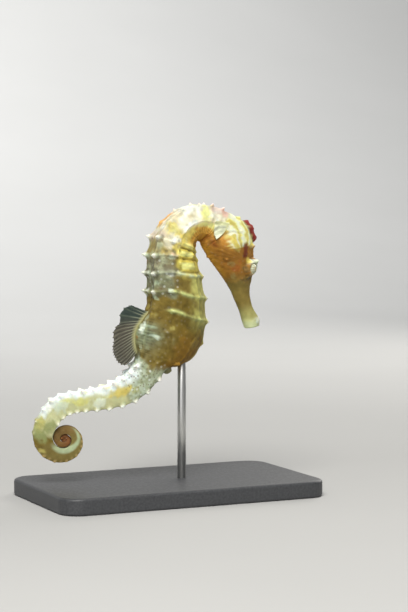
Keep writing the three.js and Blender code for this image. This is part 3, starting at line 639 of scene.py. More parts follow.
# %% Neck and throat
paint(window(s_ragged, -0.3, 5.75, 0.5) * fall(side_ragged, 2.45, 0.4), CREAM)
neck_mottle = window(s_ragged, 0.4, 6.2, 0.6) * fall(side, 2.4, 0.3)
paint(neck_mottle * rise(clouds, 0.5, 0.25), WHITE, 0.8)
paint(neck_mottle * fall(clouds, 0.44, 0.25), PARCHMENT, 0.6)
paint(window(s_ragged, 0.6, 6.0, 0.8) * window(side, 2.1, 2.9, 0.3), PRIMROSE, 0.8)
arch_edge = np.interp(S, [-0.6, 0.2, 2.0, 3.5, 5.0, 5.6], [2.8, 2.7, 2.45, 2.25, 2.3, 2.55])
under_arch = window(S, -0.6, 5.6, 0.7) * smooth((side + 0.3 * ragged - arch_edge) / 0.3 + 0.5)
paint(under_arch, APRICOT, 0.95)
paint(window(S, -0.2, 1.5, 0.8) * rise(side_ragged, 2.7, 0.3), RUST, 0.6)
paint(window(s_ragged, -0.1, 2.0, 0.5) * fall(side_ragged, 1.5, 0.4), PINK, 0.45)
show_mean("the neck", 0, 5.5)

# %% [markdown]
# Blotches come last. They differ from one seahorse to the next and follow no rule. Noise could
# scatter them, but this animal has its own, so each one is placed one by one: s, t, radius along, radius
# across, colour and strength.

# %% Blotches of the neck and shoulders
dabs((2.62, 1.55, 1.9, 2.8, LIME, 0.9), (3.4, 0.9, 2.2, 3.0, WHITE, 0.8), (0.6, 1.1, 1.8, 1.6, PINK, 0.75),
     (1.1, 0.75, 1.0, 1.0, PINK, 0.6), (3.9, 1.9, 2.4, 0.9, WHITE, 0.9), (5.2, 1.25, 2.5, 1.8, OCHRE, 0.85),
     (5.35, 1.75, 1.9, 1.6, OCHRE, 0.85), (5.85, 0.9, 2.2, 2.6, (0.62, 0.54, 0.44), 0.85),
     (6.5, 0.5, 2.2, 1.7, DUN, 0.7), (6.1, 1.5, 2.0, 1.8, CREAM, 0.7), (5.8, 1.75, 1.5, 1.3, WHITE, 0.7),
     (6.4, 1.1, 1.5, 1.3, STONE, 0.8), (5.2, 1.5, 2.0, 1.6, BUTTER, 0.75),
     (6.7, 1.3, 1.5, 1.2, (0.36, 0.31, 0.11), 0.7), (6.75, 1.4, 1.1, 1.2, (0.42, 0.31, 0.08), 0.6),
     (6.9, 1.85, 1.2, 0.9, (0.52, 0.38, 0.20), 0.7),
     (5.45, 2.1, 2.4, 1.2, SUN, 0.9), (4.75, 1.95, 1.6, 0.9, WHITE, 0.8), (4.75, 2.4, 2.6, 1.7, OCHRE, 0.85),
     (3.0, 2.3, 2.6, 0.6, LIME, 0.6), (1.7, 2.3, 2.2, 0.7, LIME, 0.6), (6.3, 1.85, 1.7, 1.0, OCHRE, 0.8),
     (6.85, 1.75, 1.0, 0.7, PINK, 0.4))
show_mean("the shoulders", 5, 7)

# %% [markdown]
# Further down the blotches are smaller: white and mint flecks beside the spines, a few dark dots
# in the frost, and sandy clouds on the belly that break up the olive.

# %% Blotches of the back and belly
dabs((8.44, 1.11, 0.8, 1.0, LICHEN, 0.85), (8.93, 0.58, 1.0, 0.9, WHITE, 0.85),
     (8.8, 1.62, 0.8, 1.0, FOAM, 0.85), (7.0, 1.75, 0.8, 1.3, MINT, 0.8), (7.05, 0.9, 0.7, 1.0, CREAM, 0.6),
     (7.95, 1.65, 0.7, 1.3, WHITE, 0.7),
     (7.95, 0.6, 0.6, 1.0, WHITE, 0.5), (9.2, 1.0, 0.7, 0.9, MINT, 0.7), (8.5, 0.35, 0.45, 0.45, UMBER, 0.7),
     (8.75, 1.28, 0.4, 0.5, UMBER, 0.7), (7.4, 0.9, 0.5, 0.5, UMBER, 0.5), (7.5, 1.4, 0.5, 0.6, UMBER, 0.4),
     (9.9, 1.66, 0.75, 0.7, STRAW, 0.8), (9.74, 1.0, 1.3, 1.2, BARK, 0.6),
     (11.0, 3.2, 3.2, 2.2, (0.27, 0.20, 0.045), 0.7),
     (9.3, 1.07, 0.55, 0.8, LICHEN, 0.7), (10.65, 1.84, 0.7, 0.8, SAND, 0.5), (9.8, 0.4, 1.0, 1.0, SAND, 0.3),
     (10.2, 1.14, 0.9, 1.0, SAND, 0.2))
show_mean("the lower trunk", 9, 12)

# %% [markdown]
# The fin's mound is grey-green with bright strokes. These strokes have calmer edges than the
# blotches, since the skin is stretched here, so each row ends with its softness and its roughness.

# %% Strokes on the mound
MOUND_ROUGH = 0.35
for s0, t0, along, across, colour, amount, soft in (
        (11.15, 1.05, 4.9, 7.4, SAGE, 0.95, 1.0), (11.1, 1.0, 3.4, 5.6, (0.23, 0.28, 0.17), 0.8, 1.2),
        (10.38, 0.55, 1.1, 1.1, STONE, 0.8, 0.7), (10.76, 1.2, 0.45, 2.0, LICHEN, 0.8, 0.7),
        (10.9, 1.28, 0.4, 1.4, DUSK, 0.7, 0.7), (10.88, 0.68, 2.1, 1.15, CHALK, 0.9, 0.7),
        (11.1, 1.36, 0.5, 1.9, (0.42, 0.52, 0.42), 0.85, 0.8), (11.15, 1.5, 0.8, 0.8, FOAM, 0.8, 0.8),
        (11.74, 0.85, 0.8, 0.8, STONE, 0.8, 0.7), (11.32, 0.35, 0.6, 0.7, AMBER, 0.6, 0.7),
        (11.45, 1.3, 0.7, 1.2, DUSK, 0.5, 0.9)):
    dab(s0, t0, along, across, colour, amount, soft, MOUND_ROUGH)
paint(bell(side * mm_t / 0.6) * window(S, 10.1, 12.3, 0.3), (0.38, 0.38, 0.17), 0.75)
show_mean("the mound", 10, 12)

# %% [markdown]
# The ring lines catch pale pigment in places, and so does the keel of the belly. We could paint
# whole rings, but on a real animal they come and go, so each row below gives one ring, the part of
# its way around that is pale, and how strongly. One orange line lies along the left ridge alone.

# %% Pale ring lines, keel and the orange line
near_line = bell(off_ring / 0.65) * (0.45 + 0.75 * rise(clouds, 0.35, 0.3))
PALE_RINGS = ((6, 0.8, 1.3, 0.5), (7, 0.0, 1.0, 0.8), (7, 0.9, 1.9, 0.2), (8, 0.0, 2.1, 0.75),
              (8, 2.0, 4.0, 0.65), (9, 0.0, 1.2, 0.25), (9, 1.7, 4.0, 0.85), (10, 1.6, 3.3, 0.8))
for r, low, high, amount in PALE_RINGS:
    pale_part = near_line * (ring == r) * window(side_ragged, low, high, 0.4)
    paint(pale_part, MINT if r < 9 else STRAW, amount)
paint(bell((side - 4) / 0.16) * window(S, 5.6, 12.0, 0.8), BUTTER, 0.6)
paint(bell((T - 7.15) / 0.4) * window(S, 4.2, 5.3, 0.4), ORANGE, 0.85)
show_mean("the whole trunk", 0, 12)

# %% [markdown]
# ## The tail
# The tail is freckled grey at its root and white over its top, with yellow patches on the flank.
# The brown of the belly runs into the root further below than above, which the table of edges gives.

# %% Root and straight part of the tail
root_start = np.interp(side, [0.8, 1.5, 2.0, 3.0], [12.3, 12.6, 12.85, 12.45])
paint(smooth((s_ragged - root_start) / 0.5 + 0.5) * window(s_ragged, 11, 15.4, 0.5), (0.36, 0.42, 0.28))
root_mottle = rise(s_ragged, root_start, 0.5) * window(s_ragged, 11, 15.6, 0.6)
speckle = noise(plain, 0.8, 4.4)
paint(root_mottle * rise(speckle, 0.52, 0.15), (0.54, 0.63, 0.49), 0.75)
paint(root_mottle * fall(speckle, 0.42, 0.15), SAGE, 0.6)
paint(rise(s_ragged, 15.0, 0.8) * fall(s_ragged, 25.6, 1.0), (0.54, 0.56, 0.31))
paint(window(s_ragged, 13.4, 23.5, 0.9) * fall(side_ragged, 1.75, 0.5), SNOW)
dabs((12.6, 1.9, 2.2, 1.2, BARK, 0.5), (13.1, 0.9, 2.0, 1.6, WHITE, 0.7), (15.7, 1.8, 3.6, 1.5, SUN, 0.85),
     (14.6, 2.2, 1.5, 1.0, CITRON, 0.5), (17.8, 2.3, 2.6, 1.6, CHALK, 0.7),
     (19.4, 1.95, 2.4, 1.2, LEMON, 0.8), (20.9, 1.5, 1.9, 1.0, LEMON, 0.7), (16.9, 0.9, 1.4, 0.9, LIME, 0.6),
     (18.9, 1.0, 1.2, 0.8, LIME, 0.6), (22.3, 1.15, 2.8, 1.9, WHITE, 0.9), (21.7, 1.9, 2.4, 1.9, FOAM, 0.8),
     (24.1, 1.4, 2.4, 1.7, CITRON, 0.85), (23.9, 2.3, 2.6, 1.6, FERN, 0.8), (25.0, 1.7, 2.2, 2.2, FERN, 0.85))
show_mean("the straight tail", 13, 24)

# %% [markdown]
# The coil is brown and turns red-brown to its centre. Its outer edge has short pale dashes, two to
# a ring. Along its inner edge goes a painted highlight: a pale stripe where the lower inner side of
# the outer turn faces up to the light, so it moves over the flank as the coil turns. Both are
# waves and tables in s, so they follow the spiral by themselves.

# %% Coil
paint(rise(s_ragged, 25.7, 0.8), SHELL)
dab(26.5, 1.4, 0.9, 0.8, SAND, 0.8)
dash = window(side, 0.5, 1.35, 0.3) * rise(wave(2 * S), 0.1, 0.5)
paint(dash * window(S, 26.5, 33, 1.5), (0.50, 0.36, 0.16), 0.6)
paint(rise(s_ragged, 32, 2), PEAT)
paint(rise(S, 36, 5), (0.20, 0.075, 0.025), 0.85)
# painted highlight: the lit lower inner side of the coil's outer turn
coil_highlight_t = np.interp(S, [26, 28.5, 29.7, 30.7, 31.8, 33.5], [2.9, 2.75, 2.6, 2.3, 1.7, 1.2])
coil_highlight_width = np.interp(S, [26, 28, 30, 32, 34], [0.25, 0.42, 0.42, 0.22, 0.1])
coil_highlight = fall(np.abs(side - coil_highlight_t), coil_highlight_width + 0.2, 0.35) * window(S, 26.6, 33.0, 1.6)
paint(coil_highlight, (0.40, 0.49, 0.30), 0.92)
show_mean("the coil", 25, 48)

# %% [markdown]
# ## The head
# Cheeks are orange-brown with rusty clouds, and the snout is olive with a lighter tip.

# %% Cheek and snout
paint(fall(s_ragged, 0.05, 0.4), AMBER)
paint(window(s_ragged, -4.6, -0.6, 1.0) * rise(side, 3.3, 0.5), (0.52, 0.27, 0.03), 0.8)
paint(fall(s_ragged, -4.5, 1.0), BARK)
paint(fall(S, -7.3, 2.2), (0.46, 0.47, 0.18), 0.85)
paint(fall(S, -8.9, 0.7), (0.66, 0.74, 0.42), 0.9)
dabs((-0.9, 2.5, 1.8, 1.6, TAWNY, 0.7), (-1.25, 3.2, 1.5, 1.3, RUST, 0.8), (-3.9, 2.6, 1.4, 1.5, BRICK, 0.6),
     (-3.5, 2.2, 0.8, 0.8, BRICK, 0.4), (-2.3, 2.9, 2.4, 1.7, AMBER, 0.5), (-3.4, 3.0, 1.8, 1.4, RUST, 0.3),
     (-2.35, 2.2, 1.7, 1.3, (0.44, 0.36, 0.08), 0.75), (-3.6, 2.75, 1.2, 1.2, DUN, 0.6),
     (-4.6, 3.0, 1.2, 1.2, DUN, 0.6), (-4.9, 2.3, 0.9, 0.8, UMBER, 0.35), (-9.4, 1.3, 1.4, 2.0, WHITE, 0.6))
show_mean("the snout", -10, -5)

# %% [markdown]
# The crown is pale, and its lower edge runs in zigzags, which a table of edge places gives. The
# streaks on it spread like the ridges of the gill cover, so they use the same fan of angles.

# %% Streaked crown
CROWN_EDGE = np.array([[-3.1, 0.6], [-2.75, 0.9], [-2.5, 1.3], [-2.4, 2.0], [-2.25, 2.45], [-2.1, 2.3],
                       [-1.95, 2.6], [-1.75, 2.3], [-1.5, 2.5], [-1.25, 2.25], [-1.0, 2.35], [-0.5, 2.15],
                       [-0.1, 2.2], [0.4, 2.1]])
STREAKS = 23
crown_edge = np.interp(S, *CROWN_EDGE.T)
on_crown = smooth((crown_edge - side - 0.4 * (medium - 0.5)) / 0.65 + 0.5) * fall(S, 0.5, 0.4)
streaks = 0.5 + 0.5 * np.cos(STREAKS * fan_angle + 4 * coarse + 3 * medium)
paint(on_crown, (0.80, 0.82, 0.33))
paint(on_crown * rise(streaks, 0.6, 0.3) * rise(side, 0.6, 0.5), SUN, 0.85)
paint(on_crown * rise(side, crown_edge - 0.8, 0.5) * (S < -1), SUN, 0.75)
paint(on_crown * fall(streaks, 0.35, 0.3) * rise(side, 0.4, 0.5), WHITE, 0.7)
under_crown = on_gill * rise(side, crown_edge, 0.4)
paint(under_crown * rise(streaks, 0.5, 0.4), TAWNY, 0.3)
paint(under_crown * fall(streaks, 0.4, 0.4), RUST, 0.12)
dab(-2.75, 1.05, 1.0, 0.9, AMBER, 0.8)
show_mean("the head", -4.5, 0)

# %% [markdown]
# The marks around the eye come last, because they lie over everything else: a dark bar behind it,
# the pale turret, a painted shadow in front of it and dark skin below it, and the crimson coronet
# with rosy points.

# %% Marks around the eye, coronet
bar_t = 1.55 + 0.24 * (-2.3 - S)
bar = window(S, -3.3, -2.2, 0.3) * smooth((0.21 - np.abs(side - bar_t) + 0.06 * (fine - 0.5)) / 0.1)
paint(bar, WINE, 0.92)
from_eye = np.hypot((S - EYE_S) * mm_s, (side - EYE_T) * mm_t)
turret_paint = fall(from_eye - 0.8 * (medium - 0.5), 2.9, 0.5) * rise(S, -4.75, 0.25)
paint(turret_paint * fall(side - 0.3 * ragged, 1.8, 0.3), (0.62, 0.72, 0.50), 0.9)
paint(turret_paint * rise(clouds, 0.5, 0.2) * (side < 1.7), WHITE, 0.7)
# the first dab is a painted shadow under the front of the turret; the second is dark skin below it
dabs((-4.95, 1.6, 0.9, 1.6, (0.13, 0.10, 0.04), 0.8), (-4.1, 1.95, 1.3, 1.0, PEAT, 0.85),
     (-3.5, 1.6, 1.1, 1.0, (0.70, 0.56, 0.12), 0.95))
paint(fall(crown_rho, 1.27, 0.08) * (side < 2), CRIMSON)
paint(rise(coronet, 1.9, 0.4), (0.66, 0.26, 0.24), 0.75)
show_mean("head and coronet", -4.5, 0)

# %% [markdown]
# ## Pale tips, painted shade in hollows
# Spine tips are worn pale, pinkish on the neck. Hollows get painted shade and ridges a slight painted
# highlight. A painter would use a dry brush for the tips and a shading wash for the rest. Both come
# straight from the relief here: the height of a spine tells where its tip is, and the difference
# between a point and its neighbours tells a hollow from a ridge.

# %% Dry brush on the spines
low_tail = (S > 12.5) & (side > 2.4)
tips = rise(spines, np.where(low_tail, 0.12, 0.3), 0.45) * (coronet < 0.3)
tips[(S > 10.5) & (S < 12.6) & (side > 2.4)] = 0
tip_colour = np.where(S[..., None] < 5, (0.86, 0.68, 0.63), (0.84, 0.88, 0.80))
worn = (tips * np.interp(S, [5, 6, 10, 12], [1, 0.75, 0.75, 1]))[..., None]
tint[:] = tint * (1 - worn) + tip_colour * worn
print("worn tips cover", round(100 * float((worn > 0.5).mean()), 1), "% of the grid")

# %% [markdown]
# For the painted shade we blur the heights and compare. Where the blurred height is above the skin there is
# a hollow, and it is painted darker as shade. Where it is below, on a ridge, it is painted a little
# lighter as a highlight. A last noise over everything varies the tone, as real pigment does.

# %% Painted shade in the hollows, painted highlight on the ridges


def blurred(values, times):
    for _ in range(times):
        values = (values + np.roll(values, 1, 1) + np.roll(values, -1, 1)) / 3
        values[1:-1] = (values[:-2] + values[1:-1] + values[2:]) / 3
    return values


hollow = np.clip((blurred(height, 5) - height) / 0.16, -1, 1)
painted_shade_share = np.interp(S, [0, 3, 5.5, 12, 14], [0.4, 0.25, 0.45, 0.45, 0.22])
# painted shade darkens the hollows, and a painted highlight lightens the ridges
tint *= (1 - painted_shade_share * np.clip(hollow, 0, 1) + 0.12 * np.clip(-hollow, 0, 1))[..., None]
uneven = np.interp(S, [-10, 9, 12, 15], [0.28, 0.28, 0.2, 0.1])
tint[:] = np.clip(tint * (1 + uneven * (medium - 0.5))[..., None], 0, 0.95)
show_mean("the finished skin", -10, 48)

# %% [markdown]
# Freckles are finer than the grid, so they can't be painted on it. We only paint how many there
# should be, as a number between 0 and 1, and the material will draw them.

# %% How freckled each place is
freckled = 0.45 * window(S, 6.8, 9.2, 0.4) * fall(side, 2.1, 0.3)
for low, high, soft, share in ((12.5, 15.2, 0.8, 1), (15, 25, 2, 0.03), (9, 12.3, 1, 0.06), (-5, 0, 1, 0.06)):
    freckled += share * window(S, low, high, soft)
freckled = np.clip(freckled, 0, 1)
print("freckles on", round(100 * float((freckled > 0.3).mean())), "% of the grid")

# %% [markdown]
# ## From grid to mesh
# The tail is much thinner than the trunk, so it needs half as many columns. At the first tail ring
# a strip of triangles joins the dense part to the sparse part without a gap. Two separate meshes
# would be easier to write but would leave a line where they meet. The snout closes inwards as lips
# around a small mouth, and the tail tip closes as a rounded end.

# %% Mouth and tail tip rows
# painted shade standing in for the inside of the mouth
MOUTH_SHADE = (0.10, 0.035, 0.02)
LIPS = ((0.985, 0.16), (0.93, 0.34), (0.84, 0.42), (0.72, 0.34), (0.60, 0.12), (0.50, -0.25),
        (0.38, -0.6), (0.2, -0.8))
TAIL_END = ((0.9, 0.3), (0.7, 0.6), (0.35, 0.85))


def closing_rows(edge, inner_row, steps):
    """Rows that close the open end at edge; a step is its share of the edge and its push outwards."""
    centre = edge.mean(0)
    outward = centre - inner_row.mean(0)
    outward /= np.linalg.norm(outward)
    return [centre + (edge - centre) * share + outward * push for share, push in steps], outward


mouth_rows, _ = closing_rows(skin[0], skin[6], LIPS)
tip_rows, tip_out = closing_rows(skin[-1], skin[-4], TAIL_END)
print("rows that close the ends:", len(mouth_rows), "and", len(tip_rows))

# %% [markdown]
# Faces are lists of point numbers. Most of them join one ring of points to the next, so one helper
# writes those, and the skin adds the joining strip and the two end caps.

# %% Faces of the skin


def ring_faces(first, rings, n):
    """Quads between neighbouring rings of n points each, the first ring starting at point first."""
    return [(a + j, a + (j + 1) % n, a + n + (j + 1) % n, a + n + j)
            for a in range(first, first + (rings - 1) * n, n) for j in range(n)]


def joining_strip(dense_start, n, sparse_start):
    faces, half = [], n // 2
    for k in range(half):
        j0, j1, j2 = (dense_start + (2 * k + step) % n for step in (0, 1, 2))
        c0, c1 = sparse_start + k, sparse_start + (k + 1) % half
        faces += [(j0, j1, c0), (j1, c1, c0), (j1, j2, c1)]
    return faces


print("a ring of 8 points and its neighbour make", len(ring_faces(0, 2, 8)), "faces")

# %% [markdown]
# The points and their paint go in the same order: lips, trunk, tail, tail end, and the two caps.
# The mouth is painted dark inside as shade, whatever colour the snout has.

# %% Points, faces and paint of the skin


def seahorse_skin():
    cut, n = int(np.searchsorted(rows, TRUNK_END)), len(cols)
    dense = mouth_rows[::-1] + list(skin[:cut])
    sparse = [row[::2] for row in list(skin[cut:]) + tip_rows]
    half, start = n // 2, len(dense) * n
    end = start + (len(sparse) - 1) * half
    faces = ring_faces(0, len(dense), n) + joining_strip(start - n, n, start)
    faces += ring_faces(start, len(sparse), half)
    points = np.concatenate(dense + sparse)
    mouth_cap, tail_cap = len(points), len(points) + 1
    points = np.vstack([points, dense[0].mean(0), sparse[-1].mean(0) + 0.02 * tip_out])
    faces += [(mouth_cap, (j + 1) % n, j) for j in range(n)]
    faces += [(tail_cap, end + j, end + (j + 1) % half) for j in range(half)]
    return points, faces


def on_every_point(grid, mouth_values, tip_value, caps):
    """Lay a value per grid point out in the order of the skin's points."""
    cut = int(np.searchsorted(rows, TRUNK_END))
    parts = list(mouth_values) + list(grid[:cut]) + [row[::2] for row in grid[cut:]]
    return np.concatenate(parts + [tip_value] * len(TAIL_END) + [caps])


points, faces = seahorse_skin()
# painted shade: the inner lip rows and the mouth cap are dark, standing in for the shade inside the mouth
shaded_mouth = [np.full((len(cols), 3), MOUTH_SHADE)] * 3 + [tint[0]] * (len(LIPS) - 3)
colours = on_every_point(tint, shaded_mouth, tint[-1][::2], np.array([MOUTH_SHADE, tint[-1][0]]))
flecks = on_every_point(freckled, [np.zeros(len(cols))] * len(LIPS), np.zeros(len(cols) // 2), np.zeros(2))
print("the skin has", len(points), "points and", len(faces), "faces")

# %% [markdown]
# One helper turns points and faces into a Blender mesh, in metres, smooth shaded, with any colour
# or number layers that a material will read. Every piece of the model goes through it. The skin
# takes the place of all the solid parts that are flesh, so it shows no seam between them.

# %% Make a mesh piece


def make_piece(name, points, faces, layers=None, smooth_shading=True):
    mesh = bpy.data.meshes.new(name)
    mesh.from_pydata((np.asarray(points) * MM).tolist(), [], faces)
    for layer_name, values in (layers or {}).items():
        values = np.asarray(values, float)
        if values.ndim == 2:
            attribute = mesh.attributes.new(layer_name, "FLOAT_COLOR", "POINT")
            rgba = np.concatenate([values, np.ones((len(values), 1))], 1)
            attribute.data.foreach_set("color", rgba.ravel())
        else:
            attribute = mesh.attributes.new(layer_name, "FLOAT", "POINT")
            attribute.data.foreach_set("value", values)
    mesh.polygons.foreach_set("use_smooth", [smooth_shading] * len(mesh.polygons))
    mesh.update()
    piece = bpy.data.objects.new(name, mesh)
    bpy.context.scene.collection.objects.link(piece)
    print(name, "has", len(mesh.polygons), "faces")
    return piece


hide = make_piece("seahorse_hide", points, faces, {"tint": colours, "freckled": flecks})
TAIL_NODES = ["tail_%d" % i for i in range(1, 11)]
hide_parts("snout", "head", "coronet", "neck", "trunk_upper", "trunk_middle", "trunk_lower",
            *TAIL_NODES)
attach(hide, "root")

# %% [markdown]
# ## Materials from nodes
# A material is a small network: patterns on the left, the shader on the right. Building it in the
# editor is fine for one, but here are eight that share the same moves, so a few helpers place a
# node, feed its sockets and hang the finished material on a piece.

# %% Node helpers


def new_material(name):
    material = bpy.data.materials.new(name)
    material.use_nodes = True
    return material, material.node_tree, material.node_tree.nodes["Principled BSDF"]


def feed(tree, socket, value):
    if isinstance(value, bpy.types.NodeSocket):
        tree.links.new(value, socket)
    elif isinstance(value, tuple) and socket.type == "RGBA":
        socket.default_value = (*value, 1.0)
    else:
        socket.default_value = value


def node(tree, kind, inputs=None, **settings):
    made = tree.nodes.new(kind)
    for key, value in settings.items():
        setattr(made, key, value)
    for key, value in (inputs or {}).items():
        feed(tree, made.inputs[key], value)
    return made


def finish(tree, shader, looks):
    for socket_name, value in looks.items():
        feed(tree, shader.inputs[socket_name], value)


def coat(material, *pieces):
    for piece in pieces:
        piece.data.materials.append(material)
        print(piece.name, "wears", material.name, "with", len(material.node_tree.nodes), "nodes")


# %% [markdown]
# The patterns come from noise and cells in the object's own space, so they stay on the animal when
# it moves and need no unwrapping. Each helper adds one kind of node and gives back its output.

# %% Patterns


def place(tree):
    return node(tree, "ShaderNodeTexCoord").outputs["Object"]


def layer(tree, name, output="Fac"):
    return node(tree, "ShaderNodeAttribute", attribute_name=name).outputs[output]


def noise_at(tree, scale, detail=3.0):
    settings = {"Vector": place(tree), "Scale": scale, "Detail": detail}
    return node(tree, "ShaderNodeTexNoise", settings).outputs["Fac"]


def cells_at(tree, scale):
    return node(tree, "ShaderNodeTexVoronoi", {"Vector": place(tree), "Scale": scale}).outputs["Distance"]


def ranged(tree, value, low, high, to_low=0.0, to_high=1.0):
    limits = {"Value": value, "From Min": low, "From Max": high, "To Min": to_low, "To Max": to_high}
    return node(tree, "ShaderNodeMapRange", limits).outputs["Result"]


print("noise of scale 1000 has clouds of about", round(1 / 1000 / MM), "mm")

# %% [markdown]
# Colours are mixed by a share, masks are multiplied, and a bump turns a pattern into slopes that
# catch light without adding faces. It is right for grain a tenth of a millimetre high, and wrong for
# anything that should show on the outline.

# %% Mixing, sums and bumps


def mixed(tree, share, first, second, blend="MIX"):
    made = node(tree, "ShaderNodeMix", {0: share}, data_type="RGBA", blend_type=blend)
    feed(tree, made.inputs[6], first)
    feed(tree, made.inputs[7], second)
    return made.outputs[2]


def maths(tree, operation, a, b):
    return node(tree, "ShaderNodeMath", {0: a, 1: b}, operation=operation).outputs[0]


def times(tree, a, b):
    return maths(tree, "MULTIPLY", a, b)


def bumped(tree, height_socket, distance, strength=1.0):
    settings = {"Height": height_socket, "Distance": distance, "Strength": strength}
    return node(tree, "ShaderNodeBump", settings).outputs["Normal"]


print("materials that came with the solid:", len(bpy.data.materials))

# %% [markdown]
# ## The finish of the skin
# The paint layer gives the broad colours. The material adds what is finer than the grid: mottling
# at two sizes, dark and pale freckles where the freckle layer says so, a grain in the bump, and a
# little light passing under the surface, as through thin skin over bone. A stronger shine would
# look like glazed china, so the skin is kept soft.

# %% Skin material
material, tree, shader = new_material("skin_over_bone")
light_mottle = ranged(tree, noise_at(tree, 900, 4), 0.38, 0.62)
dark_mottle = ranged(tree, noise_at(tree, 420, 3), 0.6, 0.4)
colour = layer(tree, "tint", "Color")
colour = mixed(tree, times(tree, light_mottle, 0.22), colour, (1.3, 1.25, 1.1), "MULTIPLY")
colour = mixed(tree, times(tree, dark_mottle, 0.2), colour, (0.55, 0.45, 0.3), "MULTIPLY")
for cell_scale, far, close, strength, fleck_colour in (
        (1100.0, 0.34, 0.2, 0.62, (0.15, 0.11, 0.07)), (650.0, 0.3, 0.16, 0.65, (0.72, 0.78, 0.70))):
    fleck = times(tree, ranged(tree, cells_at(tree, cell_scale), far, close), layer(tree, "freckled"))
    colour = mixed(tree, times(tree, fleck, strength), colour, fleck_colour)
finish(tree, shader, {
    "Base Color": colour, "Roughness": ranged(tree, noise_at(tree, 700, 2), 0.3, 0.7, 0.5, 0.7),
    "Subsurface Weight": 0.12, "Subsurface Radius": (1.0, 0.55, 0.3), "Subsurface Scale": 0.0009,
    "Specular IOR Level": 0.18, "Normal": bumped(tree, noise_at(tree, 2600, 4), 0.00012, 0.55)})
coat(material, hide)

# %% [markdown]
# ## Eyes
# Each eye is a ball with a slightly bulged cornea. A seahorse can look forwards with both eyes, and
# this one looks forwards and a little down. A picture of an iris could be laid on the ball, but
# then it would have to be unwrapped. Instead the number layer "polar" holds the angle from the
# centre of the pupil, so the material can draw rings around it wherever the eye looks.

# %% Eyeballs
GAZE_TURN = np.array([0.75, 0.0, -0.35])
CORNEA_BULGE, BALL_SHARE = 0.045, 0.985
eye_back, eye_belly, _ = body_line(np.array([EYE_S]))
eye_axis_x, eye_axis_z = (eye_back[0] + eye_belly[0]) / 2
head_middle = bow(np.array(eye_axis_x), np.array(0.0), np.array(eye_axis_z))


def ball_points(centre, radius, gaze, polar, around):
    u = np.cross(gaze, [0, 0, 1.0])
    u /= np.linalg.norm(u)
    v = np.cross(gaze, u)
    rings = (u * np.cos(around)[:, None] + v * np.sin(around)[:, None]) * np.sin(polar)[:, None, None]
    rings = rings + gaze * np.cos(polar)[:, None, None]
    bulge = BALL_SHARE * (1 + CORNEA_BULGE * bell(polar / 0.55))
    rings = centre + radius * bulge[:, None, None] * rings
    ends = [centre + gaze * radius * 1.03, centre - gaze * radius * BALL_SHARE]
    return np.vstack([rings.reshape(-1, 3), *ends])


def eyeball(name, node_name):
    low, high = (np.array(corner) * 1000 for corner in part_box(node_name))
    centre, radius = (low + high) / 2, (high - low).max() / 2
    gaze = (centre - head_middle) / np.linalg.norm(centre - head_middle) + GAZE_TURN
    gaze /= np.linalg.norm(gaze)
    polar = np.linspace(0, math.pi, 34)[1:-1]
    around = np.linspace(0, 2 * math.pi, 48, endpoint=False)
    m, n = len(polar), len(around)
    quads = [quad[::-1] for quad in ring_faces(0, m, n)]
    quads += [(n * m, j, (j + 1) % n) for j in range(n)]
    quads += [(n * m + 1, (m - 1) * n + (j + 1) % n, (m - 1) * n + j) for j in range(n)]
    angles = np.concatenate([np.repeat(polar, n), [0.0, math.pi]])
    turn = np.concatenate([np.tile(0.5 + 0.5 * np.cos(13 * around), m), [0.5, 0.5]])
    piece = make_piece(name, ball_points(centre, radius, gaze, polar, around), quads,
                       {"polar": angles, "turn": turn})
    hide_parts(node_name)
    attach(piece, "root")
    return piece


eyes = [eyeball("eyeball_right", "eye_right"), eyeball("eyeball_left", "eye_left")]

# %% [markdown]
# The pupil is nearly black, the iris amber with fine streaks, and the ring around it is barred, as
# on many seahorses. A clear coat over all of it gives the wet shine, while the colour below stays
# softer. Every border is a short range of the angle, so nothing looks cut out.

# %% Eye material
material, tree, shader = new_material("wet_eye")
polar = layer(tree, "polar")
streak = ranged(tree, noise_at(tree, 2200, 2), 0.35, 0.65)
iris = mixed(tree, streak, (0.42, 0.22, 0.05), (0.75, 0.52, 0.16))
barred_ring = mixed(tree, layer(tree, "turn"), (0.46, 0.42, 0.24), (0.68, 0.74, 0.54))
colour = mixed(tree, ranged(tree, polar, 0.58, 0.68), iris, barred_ring)
colour = mixed(tree, ranged(tree, polar, 0.40, 0.33), colour, (0.006, 0.006, 0.008))
finish(tree, shader, {"Base Color": colour, "Roughness": ranged(tree, streak, 0, 1, 0.16, 0.26),
                      "Coat Weight": 1.0, "Coat Roughness": 0.03})
coat(material, *eyes)

# %% [markdown]
# ## Fins
# A seahorse swims with a fan on its back and a small fan behind each cheek. A fin is a skin a tenth
# of a millimetre thick, stretched over fine rays. We build it as a thin closed sheet that swells at
# each ray, with its free edge pulled in between the rays. A plane with a picture on it would be
# quicker but would have no edge, no thickness and no rays when seen from the side.

# %% Points on the finished skin


def on_skin(s, t, lift=0.0):
    i = int(np.clip(np.searchsorted(rows, s), 1, len(rows) - 1))
    j = int(np.searchsorted(cols, t % 8)) % len(cols)
    f = (s - rows[i - 1]) / (rows[i] - rows[i - 1])
    g = ((t % 8) - cols[j - 1]) % 8 / ((cols[j] - cols[j - 1]) % 8)
    point = ((skin[i - 1, j - 1] * (1 - g) + skin[i - 1, j] * g) * (1 - f)
             + (skin[i, j - 1] * (1 - g) + skin[i, j] * g) * f)
    back, belly, _ = body_line(np.array([s]))
    x, z = (back[0] + belly[0]) / 2
    out = point - bow(np.array(x), np.array(0.0), np.array(z))
    return point + out / np.linalg.norm(out) * lift


def ray_swell(u, rays):
    return (0.5 + 0.5 * wave(u * rays - 0.5)) ** 7


print("the skin's surface at ring 10, mid-back:", np.round(on_skin(10, 0), 1), "mm")

# %% [markdown]
# The sheet has two faces, and strips close it all around. A maker who thickens a single sheet with
# a modifier gets the same, but here each point can ask for its own thickness, thick at a ray and
# thin between two.

# %% A closed fin sheet


